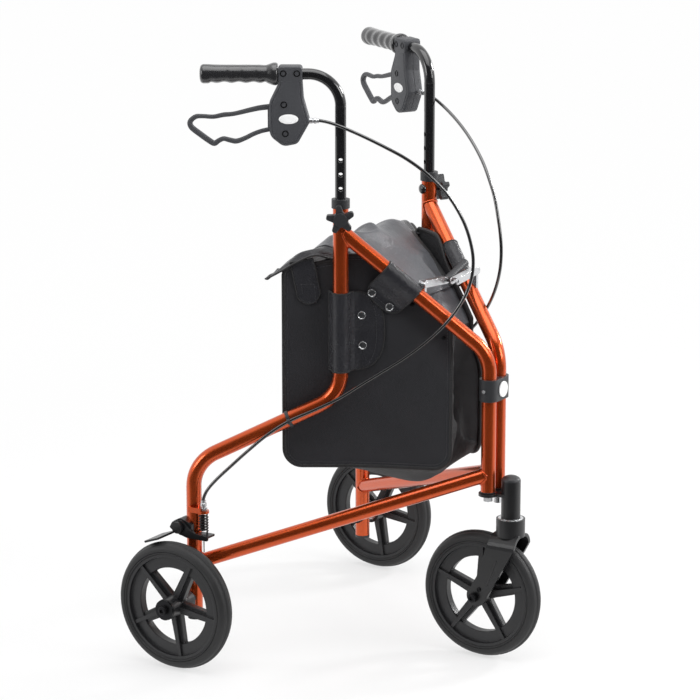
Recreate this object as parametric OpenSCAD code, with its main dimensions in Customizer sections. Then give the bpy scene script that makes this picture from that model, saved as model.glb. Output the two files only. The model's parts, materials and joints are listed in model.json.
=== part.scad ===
// Three-wheel rollator: a folding steel walking frame with bent handlebars, loop brake levers,
// a swivelling front wheel and a soft bag hung between its two side frames.
// Millimetres, +X forward, +Y to the user's left, +Z up, the floor at z = 0.

/* [Frame tubes] */
// Outside diameter of the rear tubes, from the collar to the wheel
tube_d = 22.2; // [21.8:0.1:25]
// Outside diameter of the front tubes
front_tube_d = 21.6; // [20:0.1:22]
// Outside diameter of the lower tubes
lower_tube_d = 21; // [19:0.1:21.4]
// Wall of the frame tubes
tube_wall = 1.5; // [1.2:0.1:2]
// Angle of each side frame to the centre line when unfolded
splay = 31; // [27:0.5:34]
// Distance between the axes of the two front tubes
hinge_spacing = 28; // [27:0.5:32]
// Distance from a front tube to its upright, along the side frame
upright_s = 212; // [205:1:225]
// Distance from a front tube to its rear leg, along the side frame
leg_s = 424; // [405:1:445]
// Bend radius of the rear tubes, on the axis
rear_bend_r = 55; // [45:1:65]
// Bend radius of the front tubes, on the axis
front_bend_r = 60; // [45:1:75]
// Height of the top of the uprights
upright_top_z = 670; // [660:1:680]
// Height at which the upright turns back to the leg
upright_bend_z = 397; // [385:1:405]
// Height at which the rear tube turns down into the leg
leg_bend_z = 296; // [285:1:305]
// Height of the foot of the leg
leg_bottom_z = 66; // [55:1:74]
// Height at which the front tube meets the upright
diag_top_z = 637; // [630:1:640]
// Height of the bend of the front tube
diag_bend_z = 457; // [450:1:465]
// Height of the foot of the front tube
front_bottom_z = 255; // [250:1:258]
// Height at which the lower tube meets the leg
lower_rear_z = 145; // [135:1:150]
// Height at which the lower tube meets the front tube
lower_front_z = 280; // [275:1:300]

/* [Front hinge and caster] */
// Distance of the caster post ahead of the front tubes
post_offset = 30; // [29:0.5:36]
// Outside diameter of the caster post
post_d = 28; // [27:0.5:30]
// Height of the underside of the caster post
post_bottom_z = 217; // [215:0.5:220]
// Height of the top of the caster post
post_top_z = 272; // [268:0.5:276]
// Height of the domed cap on the post
cap_h = 8; // [5:0.5:12]
// Thickness of the hinge plate
plate_t = 4; // [3:0.5:5]
// Height of the clip that holds both front tubes
clip_h = 32; // [24:1:40]
// Height of the middle of that clip
clip_z = 406; // [395:1:415]
// Wall of the clip round the tubes
clip_wall = 3.4; // [2.5:0.1:4]
// Diameter of the blank disc on the front of the clip
clip_disc_d = 20; // [14:1:26]
// Distance of the front axle behind the caster post
trail = 45; // [42:1:48]
// Diameter of the fork's cup
cup_d = 42; // [36:1:44]
// Height of the fork's cup
cup_h = 21; // [15:0.5:22]
// Thickness of the fork plates
fork_t = 5; // [3:0.5:6]
// Depth of the foot of a fork leg below the axle
fork_foot = 10; // [8:0.5:14]
// Radius of the fork's shoulders, seen from the front
fork_arch_r = 22; // [16:1:24]
// Diameter of the swivel stem
stem_d = 12; // [10:0.5:14]

/* [Wheels] */
// Diameter of the wheels
wheel_d = 190; // [184:1:191]
// Width of the tyres
tyre_w = 28; // [24:1:32]
// Diameter of the seat of the tyre on the rim
rim_d = 156; // [150:1:162]
// Inside diameter of the rim
rim_inner_d = 114; // [108:1:122]
// Width of the rim
rim_w = 24; // [18:1:26]
// Number of spokes
spoke_count = 5; // [3:1:7]
// Width of the web of a spoke
spoke_w = 17; // [12:1:20]
// Diameter of the hubs
hub_d = 31; // [30.5:0.5:36]
// Length of the rear hubs
rear_hub_len = 54; // [48:1:56]
// Length of the front hub
front_hub_len = 40; // [34:1:44]
// Distance from a leg to the middle of its wheel
wheel_offset = 49; // [47:0.5:54]
// Outside diameter of the wheel bearings
bearing_d = 22; // [19:0.5:24]
// Width of the wheel bearings
bearing_w = 7; // [5:0.5:9]
// Diameter of the axles
axle_d = 8; // [6:0.5:10]

/* [Handlebars] */
// Outside diameter of the handlebar tubes
handlebar_d = 16; // [14:0.1:17]
// Wall of the handlebar tubes
handlebar_wall = 1.5; // [1:0.1:2]
// Height of the axis of the grips
handle_z = 860; // [850:1:880]
// Height of the lower end of a handlebar, inside its upright
handlebar_bottom_z = 596; // [590:1:602]
// Bend radius of the handlebars
handle_bend_r = 45; // [36:1:48]
// Pitch of the height holes
hole_pitch = 20.5; // [19:0.1:22]
// Diameter of the height holes
hole_d = 6.5; // [6:0.1:7]
// Number of height holes
hole_count = 6; // [4:1:7]
// Height of the lock knob
knob_z = 657; // [655:1:659]
// Radius of the points of the star knob
knob_r = 20.5; // [16:0.5:24]
// Thickness of the star knob
knob_t = 11; // [8:0.5:14]
// Diameter of the stud of the star knob
stud_d = 6; // [5:0.1:6]
// Height of the collar on the upright
collar_h = 13; // [10:0.5:20]
// Diameter of the collar on the upright
collar_d = 26; // [25.5:0.1:28]
// Length of the collar's sleeve inside the upright
sleeve_len = 45; // [30:1:55]
// Distance of the front end of the grip behind the front tube
grip_front_s = 299.5; // [298:0.5:303]
// Length of the grips
grip_len = 109; // [98:1:115]
// Diameter of the grips
grip_d = 27; // [24:0.5:30]

/* [Brake levers] */
// Width of the brake housing, across the handlebar
housing_w = 25; // [23:0.5:28]
// Length of the clamp on the handlebar
clamp_len = 34; // [30:0.5:34.5]
// Height of the clamp on the handlebar
clamp_h = 19; // [18.5:0.5:24]
// Thickness of the lever
lever_t = 7; // [5:0.5:9]
// Reach of the lever's loop behind its pivot
lever_len = 139; // [130:1:146]
// Distance of the lever's pivot behind the front tube
lever_pivot_s = 288; // [286:0.5:290]
// Depth of the lever's pivot below the grip
lever_drop = 63; // [60:0.5:65]
// Diameter of the lever's pivot
lever_pin_d = 6; // [4:0.5:8]
// Distance the cable port stands out from the middle of the housing
port_out = 6; // [4:0.5:8]

/* [Rear brakes] */
// Distance of the brake pivot behind the leg
brake_pivot_back = 14; // [12:0.5:16]
// Height of the brake pivot
brake_pivot_z = 202; // [200:0.5:205]
// Diameter of the brake pivot
brake_pin_d = 8; // [6:0.5:9]
// Thickness of the brake arm's plate
arm_t = 3; // [2:0.5:4]
// Gap between the brake shoe and the tyre when released
shoe_gap = 4; // [3.5:0.1:5]
// Length of the brake shoe along the tyre
shoe_len = 24; // [20:1:36]
// Distance of the cable stop ahead of the leg
stop_front = 22; // [20:0.5:26]
// Distance of the cable stop outwards from the leg
stop_out = 8; // [6:0.5:10]
// Height of the underside of the cable stop
stop_z = 226; // [222:0.5:230]
// Thickness of the cable stop
stop_t = 4; // [3:0.5:6]
// Height of the top of the arm under the spring
arm_top_z = 195; // [193:0.5:197]
// Mean diameter of the brake spring
spring_d = 11.6; // [10:0.2:13]
// Wire of the brake spring
spring_wire = 3; // [2.4:0.1:3.2]
// Number of turns of the brake spring
spring_turns = 6; // [4:1:8]
// Outside diameter of the brake cable
cable_d = 5; // [4:0.1:5]

/* [Fold brace] */
// Distance of the brace pivots behind the front tubes, along the side frames
brace_s = 87; // [82:1:92]
// Height of the brace pivots above the axes of the sloping tubes
brace_rise = 28.6; // [28.4:0.1:32]
// Depth of the middle of the brace below its pivots
brace_dip = 5; // [2:0.5:8]
// Width of a brace link
link_w = 11; // [10:0.5:13]
// Gap between the two brace links, which turn towards each other as the frames fold
link_gap = 6.5; // [6.5:0.5:10]
// Height of a brace link
link_h = 10; // [9:0.5:12]
// Wall of a brace link
link_wall = 1.6; // [1.2:0.1:2]
// Diameter of the brace pins
brace_pin_d = 5; // [4:0.5:6]
// Diameter of the brace handle
brace_handle_d = 12; // [10:0.5:12.5]
// Length of the brace handle past the middle
brace_handle_len = 62; // [50:1:66]
// Rise of the brace handle towards its end
brace_handle_rise = 17.5; // [14:0.5:22]

/* [Bag] */
// Distance of the bag's front edge behind the front tubes, along the side frames
bag_front_s = 53; // [50:1:60]
// Distance of the bag's rear edge behind the front tubes, along the side frames
bag_rear_s = 295; // [280:1:300]
// Height of the lower edge of the bag's side panels
bag_bottom_z = 287; // [284:1:300]
// Height of the upper rear corner of the bag's side panels
bag_top_z = 580; // [570:1:584]
// Bow of the panels' front edges, out towards the front tubes
bag_bow = 16; // [6:0.5:17]
// Thickness of the padded side panels
panel_t = 3; // [2:0.5:4]
// Thickness of the bag's cloth walls
cloth_t = 2; // [1.5:0.1:3]
// Sag of the bag's bottom at its middle fold
bag_sag = 42; // [30:1:50]
// Height of the sleeve on the upright
sleeve_h = 112; // [90:1:125]
// Height of the lower edge of the sleeve on the upright
sleeve_z = 434; // [430:1:440]
// Length of the sleeve on the sloping part of the front tube
diag_sleeve_len = 48; // [36:1:50]

/* [Clearances] */
// Radial clearance of pins and shafts that turn or slide
running_fit = 0.05; // [0.02:0.01:0.1]
// Clearance between faces of pieces that move past each other
face_gap = 0.4; // [0.3:0.05:0.6]

/* [Hidden] */
$fn = 48;
steel_orange = "#c24a1c";
black_paint = "#161616";
black_plastic = "#222224";
rubber_black = "#1b1b1c";
bright_steel = "#c8cacc";
bag_black = "#19191b";
bag_grey = "#3a3a3d";

tube_r = tube_d / 2;
bore_r = tube_r - tube_wall;
front_r = front_tube_d / 2;
front_bore_r = front_r - tube_wall;
handlebar_r = handlebar_d / 2;
wheel_r = wheel_d / 2;
hinge_y = hinge_spacing / 2;
axle_z = wheel_r;
// The origin stands under the middle of the length, which runs from tyre to tyre
front_reach = post_offset - trail + wheel_r;
rear_reach = leg_s * cos(splay) + wheel_r;
hinge_x = (rear_reach - front_reach) / 2;
post_x = hinge_x + post_offset;
front_axle_x = post_x - trail;

// Side frames are drawn in their own plane: -X backwards along the frame, -Y outwards
rear_path = [
    [-upright_s, upright_top_z],
    [-upright_s, upright_bend_z],
    [-leg_s, leg_bend_z],
    [-leg_s, leg_bottom_z]
];
front_path = [[-upright_s, diag_top_z], [0, diag_bend_z], [0, front_bottom_z]];
lower_path = [[-leg_s, lower_rear_z], [0, lower_front_z]];
diag_slope = atan2(diag_top_z - diag_bend_z, upright_s);
brace_z = diag_bend_z + brace_s * tan(diag_slope) + brace_rise;
// Gap left at faces that are welded or pressed together
weld_gap = 0.02;
grip_cap = 4;
handle_path = [
    [-upright_s, handlebar_bottom_z],
    [-upright_s, handle_z],
    [-(grip_front_s + grip_len - grip_cap), handle_z]
];
SIDE_NODES = [
    "rear_tube", "front_tube", "lower_tube", "tube_fittings", "frame_hardware", "wheel_axle",
    "brake_bracket", "brake_spring", "brake_cable", "bag_panel", "brace_bracket", "handlebar",
    "grip", "brake_housing", "lever_hardware", "brake_lever", "star_knob", "wheel_rim", "tyre",
    "wheel_bearings", "brake_arm"
];
CENTRE_NODES = [
    "caster_head", "post_cap", "head_bearings", "hinge_clip", "hinge_bolts", "caster_fork",
    "swivel_stem", "front_axle", "front_rim", "front_tyre", "front_bearings", "right_brace_link",
    "left_brace_link", "brace_handle", "bag_body", "bag_lid"
];

// Places

// A side frame's own plane, on the right or mirrored to the left
module on_side(side) {
    if (side == "left") {
        mirror([0, 1, 0]) on_right() children();
    } else {
        on_right() children();
    }
}

module on_right() {
    translate([hinge_x, -hinge_y, 0]) rotate([0, 0, splay]) children();
}

// The leg's axis, turned so that the wheel's axle lies along Y and outwards is -Y
module at_leg() {
    translate([-leg_s, 0, 0]) rotate([0, 0, -splay]) children();
}

// A point of a side frame in the part's own axes, on the right for way = -1
function side_point(s, out, z, way) = [
    hinge_x - s * cos(splay) + out * sin(splay),
    way * (hinge_y + s * sin(splay) + out * cos(splay)),
    z
];

// Bent tubes in the X-Z plane

function unit(v) = v / norm(v);
function turn(a, b, c) = 180 - acos(unit(a - b) * unit(c - b));
function trim(a, b, c, r) = r * tan(turn(a, b, c) / 2);

module tube_section(d, wall) {
    difference() {
        circle(d = d);
        circle(d = d - 2 * wall);
    }
}

module straight_tube(a, b, d, wall) {
    translate(a) rotate([0, 0, atan2(b.y - a.y, b.x - a.x)]) rotate([0, 90, 0])
        linear_extrude(norm(b - a)) tube_section(d, wall);
}

// A bend is a hair thinner than the straights and runs into them, so their ends close round it
bend_seat = 0.1;
bend_over = 0.6;
module corner_tube(a, b, c, r, d, wall) {
    half = turn(a, b, c) / 2;
    more = bend_over / r * 180 / PI;
    toward_a = b + unit(a - b) * trim(a, b, c, r);
    toward_c = b + unit(c - b) * trim(a, b, c, r);
    centre = b + unit(unit(a - b) + unit(c - b)) * r / cos(half);
    start = cross(toward_a - centre, toward_c - centre) > 0 ? toward_a : toward_c;
    translate(centre) rotate([0, 0, atan2(start.y - centre.y, start.x - centre.x) - more])
        rotate_extrude(angle = 2 * (half + more)) translate([r, 0])
        tube_section(d - 2 * bend_seat, wall - 2 * bend_seat);
}

module bent_tube(points, r, d, wall) {
    last = len(points) - 1;
    rotate([90, 0, 0]) {
        for (i = [0:last - 1]) {
            p = points[i];
            q = points[i + 1];
            way = unit(q - p);
            from = i == 0 ? p : p + way * trim(points[i - 1], p, q, r);
            to = i + 1 == last ? q : q - way * trim(p, q, points[i + 2], r);
            straight_tube(from, to, d, wall);
        }
        for (i = [1:1:last - 1]) {
            corner_tube(points[i - 1], points[i], points[i + 1], r, d, wall);
        }
    }
}

// Outlines with rounded corners, each point being [x, y, corner radius]

function flat(p) = [p.x, p.y];
function corner_arc(a, b, c, steps) =
    let (
        u = unit(flat(a) - flat(b)),
        w = unit(flat(c) - flat(b)),
        half = (180 - acos(u * w)) / 2,
        centre = flat(b) + unit(u + w) * b.z / cos(half),
        p = flat(b) + u * b.z * tan(half) - centre,
        q = flat(b) + w * b.z * tan(half) - centre,
        from = atan2(p.y, p.x),
        sweep = cross(p, q) > 0 ? 2 * half : -2 * half
    )
    [for (i = [0:steps]) centre + b.z * [cos(from + sweep * i / steps), sin(from + sweep * i / steps)]];
function rounded(points, steps = 5) =
    let (n = len(points))
    [for (i = [0:n - 1]) each corner_arc(points[(i + n - 1) % n], points[i], points[(i + 1) % n], steps)];

// A plate in the X-Z plane, from y = -t / 2 to y = t / 2
module upright_plate(points, t) {
    rotate([90, 0, 0]) linear_extrude(t, center = true) polygon(rounded(points));
}

// A cylinder along Y from y0 to y1
module rod_y(d, y0, y1) {
    translate([0, y0, 0]) rotate([-90, 0, 0]) cylinder(d = d, h = y1 - y0);
}

// Swept tubes: rings of points joined into one closed surface

function path_way(p, i) = unit(p[min(i + 1, len(p) - 1)] - p[max(i - 1, 0)]);
function ring(at, way, across, r, sides) =
    let (
        u = unit(across - way * (across * way)),
        v = cross(way, u)
    )
    [for (k = [0:sides - 1]) at + r * (cos(360 * k / sides) * u + sin(360 * k / sides) * v)];

// Each ring starts from the last one's first direction, so the tube doesn't twist
function carried(p, i, across) =
    i == 0 ? across : let (u = carried(p, i - 1, across), w = path_way(p, i)) unit(u - w * (u * w));

module swept_tube(path, r, sides, across) {
    n = len(path);
    rings = [for (i = [0:n - 1]) each ring(path[i], path_way(path, i), carried(path, i, across), r, sides)];
    walls = [
        for (i = [0:n - 2]) for (k = [0:sides - 1])
            let (a = i * sides + k, b = i * sides + (k + 1) % sides)
            each [[a, b, b + sides], [a, b + sides, a + sides]]
    ];
    near = [for (k = [1:sides - 2]) [0, k + 1, k]];
    far = [for (k = [1:sides - 2]) [(n - 1) * sides, (n - 1) * sides + k, (n - 1) * sides + k + 1]];
    polyhedron(rings, concat(walls, near, far));
}

// Cloth: two like grids of points, the outer and inner faces, joined round their rim
module cloth(outer, inner) {
    rows = len(outer);
    cols = len(outer[0]);
    all = rows * cols;
    points = concat([for (row = outer) each row], [for (row = inner) each row]);
    faces = [
        for (i = [0:rows - 2]) for (j = [0:cols - 2])
            let (a = i * cols + j, b = a + 1, c = b + cols, d = a + cols)
            each [[a, b, c], [a, c, d], [all + a, all + c, all + b], [all + a, all + d, all + c]]
    ];
    rim = concat(
        [for (j = [0:cols - 1]) j],
        [for (i = [1:rows - 1]) i * cols + cols - 1],
        [for (j = [cols - 2:-1:0]) (rows - 1) * cols + j],
        [for (i = [rows - 2:-1:1]) i * cols]
    );
    edge = [
        for (k = [0:len(rim) - 1])
            let (a = rim[k], b = rim[(k + 1) % len(rim)])
            each [[b, a, all + a], [b, all + a, all + b]]
    ];
    polyhedron(points, concat(faces, edge));
}

// Side frames

module rear_tube() {
    color(steel_orange) difference() {
        union() {
            bent_tube(rear_path, rear_bend_r, tube_d, tube_wall);
            at_leg() cable_stop();
        }
        knob_holes();
        at_leg() translate([0, 0, axle_z]) rod_y(axle_d, -tube_d, tube_d);
    }
}

// The lock stud comes in from outside and the domed bolt from inside
module knob_holes() {
    translate([-upright_s, 0, knob_z]) {
        rod_y(stud_d + 2 * running_fit, -tube_d, 0);
        rod_y(stud_d, 0, tube_d);
    }
}

stop_w = 16;
stop_lip = 4;
barrel_d = 7;
module cable_stop() {
    lip_t = (stop_w - nut_d) / 2 - face_gap;
    translate([0, -stop_out, stop_z]) difference() {
        union() {
            translate([0, -stop_w / 2, 0]) cube([stop_front, stop_w, stop_t]);
            translate([stop_front, 0, 0]) cylinder(d = stop_w, h = stop_t);
            translate([0, -stop_w / 2, 0]) cube([stop_front, lip_t, stop_t + stop_lip]);
        }
        translate([stop_front, 0, -1]) cylinder(d = barrel_d + 2 * weld_gap, h = stop_t + 2);
        translate([0, stop_out, -1]) cylinder(r = tube_r - tube_wall / 2, h = stop_t + stop_lip + 2);
    }
}

module front_tube() {
    color(steel_orange) difference() {
        bent_tube(front_path, front_bend_r, front_tube_d, tube_wall);
        translate([-upright_s, 0, diag_bend_z]) cylinder(d = tube_d, h = upright_top_z - diag_bend_z);
    }
}

module lower_tube() {
    color(steel_orange) difference() {
        bent_tube(lower_path, rear_bend_r, lower_tube_d, tube_wall);
        translate([-leg_s, 0, 0]) cylinder(d = tube_d, h = leg_bend_z);
        translate([0, 0, front_bottom_z - tube_d])
            cylinder(d = front_tube_d, h = diag_bend_z - front_bottom_z);
    }
}

// Collar, foot plug, hinge plug and cable tie
plug_t = 4;
plug_len = 16;
hinge_plug_len = 40;
hinge_flange_t = 2;
hinge_bolt_d = 8;
tie_s = 286;
tie_w = 5;
tie_t = 1.3;
tie_gap = 0.2;
tied_cable_out = tube_r + tie_t + tie_gap + cable_d / 2;
module tube_fittings() {
    color(black_plastic) {
        difference() {
            translate([-upright_s, 0, upright_top_z]) {
                cylinder(d = collar_d, h = collar_h);
                translate([0, 0, -sleeve_len]) cylinder(r = bore_r, h = sleeve_len);
            }
            translate([-upright_s, 0, upright_top_z - sleeve_len - 1])
                cylinder(r = handlebar_r + running_fit, h = sleeve_len + collar_h + 2);
            knob_holes();
        }
        translate([-leg_s, 0, leg_bottom_z]) {
            translate([0, 0, -plug_t]) cylinder(r = tube_r, h = plug_t);
            cylinder(r = bore_r, h = plug_len);
        }
        translate([0, 0, front_bottom_z]) difference() {
            union() {
                translate([0, 0, -hinge_flange_t]) cylinder(r = front_r, h = hinge_flange_t);
                cylinder(r = front_bore_r, h = hinge_plug_len);
            }
            translate([0, 0, -hinge_flange_t - 1])
                cylinder(d = hinge_bolt_d + 2 * running_fit, h = hinge_plug_len + hinge_flange_t + 2);
        }
        cable_tie();
    }
}

slope_way = unit(rear_path[2] - rear_path[1]);
function slope_z(s) = upright_bend_z + (s - upright_s) * slope_way.y / -slope_way.x;
module cable_tie() {
    translate([-tie_s, 0, slope_z(tie_s)])
        rotate([0, atan2(slope_way.y, -slope_way.x), 0])
        rotate([0, -90, 0]) translate([0, 0, -tie_w / 2]) difference() {
            union() {
                cylinder(r = tube_r + tie_t, h = tie_w);
                translate([0, -tied_cable_out, 0]) cylinder(d = cable_d + 2 * (tie_gap + tie_t), h = tie_w);
            }
            translate([0, 0, -1]) cylinder(r = tube_r, h = tie_w + 2);
            translate([0, -tied_cable_out, -1]) cylinder(d = cable_d + 2 * tie_gap, h = tie_w + 2);
        }
}

// The domed bolt opposite the knob, and the cable's barrel adjuster in its stop
dome_d = 15;
dome_h = 5;
barrel_h = 15;
barrel_seat = 5;
nut_d = 11;
nut_h = 4;
module frame_hardware() {
    color(bright_steel) {
        translate([-upright_s, 0, knob_z]) {
            rod_y(stud_d - 2 * weld_gap, handlebar_r + face_gap, tube_r + 1);
            difference() {
                rotate([-90, 0, 0]) translate([0, 0, tube_r - dome_h / 2]) {
                    cylinder(d = dome_d, h = dome_h);
                    translate([0, 0, dome_h]) cylinder(d1 = dome_d, d2 = dome_d / 2, h = dome_h / 2);
                }
                translate([0, 0, -dome_d]) cylinder(d = tube_d + 2 * weld_gap, h = 2 * dome_d);
            }
        }
        at_leg() translate([stop_front, -stop_out, stop_z]) difference() {
            union() {
                cylinder(d = barrel_d, h = stop_t + barrel_h);
                translate([0, 0, stop_t]) cylinder(d = nut_d, h = nut_h, $fn = 6);
            }
            translate([0, 0, stop_t + barrel_h - barrel_seat]) cylinder(d = cable_d, h = barrel_seat + 1);
        }
    }
}

// Axle through the leg, with its spacer outside and its nut inside
spacer_d = 15;
hub_gap = 0.6;
axle_nut_d = 14;
axle_nut_t = 6;
axle_end_t = 5;
hub_cap_d = 30;
hub_cap_t = 2.5;
hub_inner = wheel_offset - rear_hub_len / 2;
hub_outer = wheel_offset + rear_hub_len / 2;
module wheel_axle() {
    color(bright_steel) at_leg() translate([0, 0, axle_z]) {
        rod_y(axle_d, -hub_outer - hub_gap, tube_r + axle_nut_t);
        rod_y(hub_cap_d, -hub_outer - hub_gap - hub_cap_t, -hub_outer - hub_gap);
        rod_y(axle_nut_d, -hub_outer - hub_gap - axle_end_t, -hub_outer - hub_gap);
        difference() {
            union() {
                rod_y(spacer_d, -hub_inner + hub_gap, 0);
                rod_y(axle_nut_d, 0, tube_r + axle_nut_t);
            }
            translate([0, 0, -tube_d]) cylinder(d = tube_d, h = 2 * tube_d);
        }
    }
}

// Rear brakes, in the leg's own axes

bracket_out = tube_r + 5.5;
bracket_front = 6;
bracket_back = 12;
bracket_h = 26;
pin_head_d = 17;
pin_head_t = 5;
arm_out = bracket_out + face_gap + arm_t;
module brake_bracket() {
    color(black_paint) at_leg() {
        difference() {
            translate([0, 0, brake_pivot_z]) upright_bracket();
            translate([0, 0, brake_pivot_z - bracket_h]) cylinder(d = tube_d, h = 2 * bracket_h);
        }
        translate([-brake_pivot_back, 0, brake_pivot_z]) {
            rod_y(brake_pin_d, -arm_out - face_gap, -bracket_out);
            rod_y(pin_head_d, -arm_out - face_gap - pin_head_t, -arm_out - face_gap);
        }
    }
}

module upright_bracket() {
    outline = [
        [bracket_front, -bracket_h / 2, 3],
        [bracket_front, bracket_h / 2 - 6, 3],
        [-brake_pivot_back, bracket_h / 2, 6],
        [-brake_pivot_back - bracket_back, bracket_h / 4, 5],
        [-brake_pivot_back - bracket_back, -bracket_h / 4, 5],
        [-brake_pivot_back, -bracket_h / 2, 5]
    ];
    translate([0, -bracket_out / 2, 0]) upright_plate(outline, bracket_out);
}

// The shoe's lower face lies along the tyre at its middle, shoe_gap away from it
arm_front = stop_front + 14;
spring_front = stop_front - 8;
arm_pad_in = 7;
arm_boss_r = 11;
shoe_front = brake_pivot_back + 6;
shoe_rear = shoe_front + shoe_len;
shoe_mid = (shoe_front + shoe_rear) / 2;
shoe_slope = asin(shoe_mid / wheel_r);
shoe_w = tyre_w - 2;
wire_d = 1.6;
wire_drop = 25;
module brake_arm() {
    color(black_paint) at_leg() difference() {
        union() {
            translate([0, -arm_out + arm_t / 2, 0]) upright_plate(arm_outline(), arm_t);
            translate([spring_front, -arm_out, arm_top_z - arm_t])
                cube([arm_front - spring_front, arm_out - stop_out + arm_pad_in, arm_t]);
            brake_shoe();
            translate([stop_front, -stop_out, arm_top_z - arm_t]) {
                translate([0, 0, -wire_drop]) cylinder(d = wire_d, h = wire_drop + arm_t);
                translate([0, 0, -nut_h]) cylinder(d = nut_d, h = nut_h, $fn = 6);
            }
        }
        translate([-brake_pivot_back, 0, brake_pivot_z])
            rod_y(brake_pin_d + 2 * running_fit, -wheel_offset, 0);
    }
}
function arm_outline() = [
    [arm_front, arm_top_z - arm_t - 4, 2],
    [arm_front, arm_top_z, 2],
    [spring_front, arm_top_z + 1, 4],
    [-brake_pivot_back + 4, brake_pivot_z + arm_boss_r, 5],
    [-brake_pivot_back - arm_boss_r, brake_pivot_z + arm_boss_r - 4, 6],
    [-shoe_front - 10, shoe_z(-10) + 3, 2],
    [-shoe_front, shoe_z(0), 1],
    [0, arm_top_z - arm_t - 4, 3]
];

// Height of the shoe's lower face, at a distance back from its front end
function shoe_z(back) =
    axle_z + (wheel_r + shoe_gap) / cos(shoe_slope) - (shoe_front + back) * tan(shoe_slope);

module brake_shoe() {
    translate([-shoe_front, -wheel_offset - shoe_w / 2, shoe_z(0)]) rotate([0, -shoe_slope, 0])
        translate([-shoe_len / cos(shoe_slope), 0, 0])
        cube([shoe_len / cos(shoe_slope), wheel_offset + shoe_w / 2 - arm_out + arm_t, arm_t]);
}

// Spring: one wire, straight for one diameter at each end
spring_rings = 8;
spring_low = arm_top_z + face_gap;
function spring_at(turn) =
    let (rise = stop_z - spring_low - 2 * spring_wire)
    [
        spring_d / 2 * cos(360 * turn),
        spring_d / 2 * sin(360 * turn),
        spring_low + spring_wire + rise * turn / spring_turns
    ];
spring_path = concat(
    [[spring_d / 2, 0, spring_low]],
    [for (i = [0:spring_rings * spring_turns]) spring_at(i / spring_rings)],
    [[spring_d / 2, 0, stop_z]]
);
spring_least_gap = min([
    for (i = [0:len(spring_path) - 1]) for (j = [i + spring_rings / 2:1:len(spring_path) - 1])
        norm(spring_path[i] - spring_path[j]) - spring_wire
]);
echo(spring_least_gap = spring_least_gap);
module brake_spring() {
    color(black_paint) at_leg() translate([stop_front, -stop_out, 0])
        swept_tube(spring_path, spring_wire / 2, 6, [1, 0, 0]);
}

// Brake cable: distance behind the front tube, distance outwards and height of each point
CABLE_ROUTE = [
    [244, 6, 795], [240, 6, 795], [228, 9, 793], [212, 12, 788], [190, 15, 779], [168, 17, 769],
    [146, 18, 758], [124, 18, 746], [102, 18, 731], [82, 18, 714], [64, 17, 695], [49, 17, 673], [37, 16, 649],
    [29, 16, 624], [25, 16, 599], [27, 16, 573], [36, 16, 547], [51, 16, 522], [71, 16, 498],
    [96, 16, 475], [124, 16, 454], [152, 16, 436], [182, 16, 417], [213, 16, 397], [247, 15.5, 380],
    [286, 15.1, 362], [318, 15, 341], [346, 15, 317], [370, 16, 295], [390, 17, 276], [403, 18, 261],
    [409, 18.2, 248], [409.3, 18.2, 241]
];
module brake_cable() {
    color(rubber_black)
        swept_tube([for (p = CABLE_ROUTE) [-p.x, -p.y, p.z]], cable_d / 2 - tie_gap, 8, [0, -1, 0]);
}

// Fold brace

brace_y = hinge_y + brace_s * sin(splay);
brace_x = hinge_x - brace_s * cos(splay);
link_len = norm([brace_y, brace_dip]);
link_dip = atan2(brace_dip, brace_y);
link_mid = (link_w + link_gap) / 2;
tongue_w = link_w - 2 * link_wall - 2 * face_gap;
tongue_r = link_h / 2 - link_wall - 0.6;

// The brace pivot of one side, with +Y towards the middle; right links run behind left ones
module at_brace(side) {
    mirrored = side == "left" ? 1 : 0;
    if (mirrored == 1) {
        mirror([0, 1, 0]) translate([brace_x + link_mid, -brace_y, brace_z]) children();
    } else {
        translate([brace_x - link_mid, -brace_y, brace_z]) children();
    }
}

module rod_x(d, x0, x1) {
    translate([x0, 0, 0]) rotate([0, 90, 0]) cylinder(d = d, h = x1 - x0);
}

bracket_foot = brace_rise;
module brace_bracket(side) {
    color(bright_steel) {
        at_brace(side) rod_x(brace_pin_d, -link_w / 2, link_w / 2);
        difference() {
            at_brace(side) {
                rod_x(2 * tongue_r, -tongue_w / 2, tongue_w / 2);
                translate([-tongue_w / 2, -tongue_r, -bracket_foot])
                    cube([tongue_w, 2 * tongue_r, bracket_foot]);
            }
            on_side(side) translate([-brace_s, 0, brace_z - bracket_foot]) rotate([0, diag_slope, 0])
                rod_x(front_tube_d + 2 * weld_gap, -2 * bracket_foot, 2 * bracket_foot);
        }
    }
}

module channel(len) {
    difference() {
        translate([-link_w / 2, 0, -link_h / 2]) cube([link_w, len, link_h]);
        translate([-link_w / 2 + link_wall, -1, -link_h / 2 - 1])
            cube([link_w - 2 * link_wall, len + 2, link_h - link_wall + 1]);
    }
}

web_start = 7;
module brace_link(side) {
    color(bright_steel) at_brace(side) rotate([-link_dip, 0, 0]) difference() {
        union() {
            channel(link_len);
            rod_x(link_h, -link_w / 2, -link_w / 2 + link_wall);
            rod_x(link_h, link_w / 2 - link_wall, link_w / 2);
            translate([0, link_len, 0]) {
                rod_x(link_h, -link_w / 2, -link_w / 2 + link_wall);
                rod_x(link_h, link_w / 2 - link_wall, link_w / 2);
            }
        }
        translate([-link_w / 2 + link_wall, -web_start, 0])
            cube([link_w - 2 * link_wall, 2 * web_start, link_h]);
        rod_x(brace_pin_d + 2 * running_fit, -link_w, link_w);
        translate([0, link_len, 0]) rod_x(brace_pin_d, -link_w, link_w);
    }
}

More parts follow.
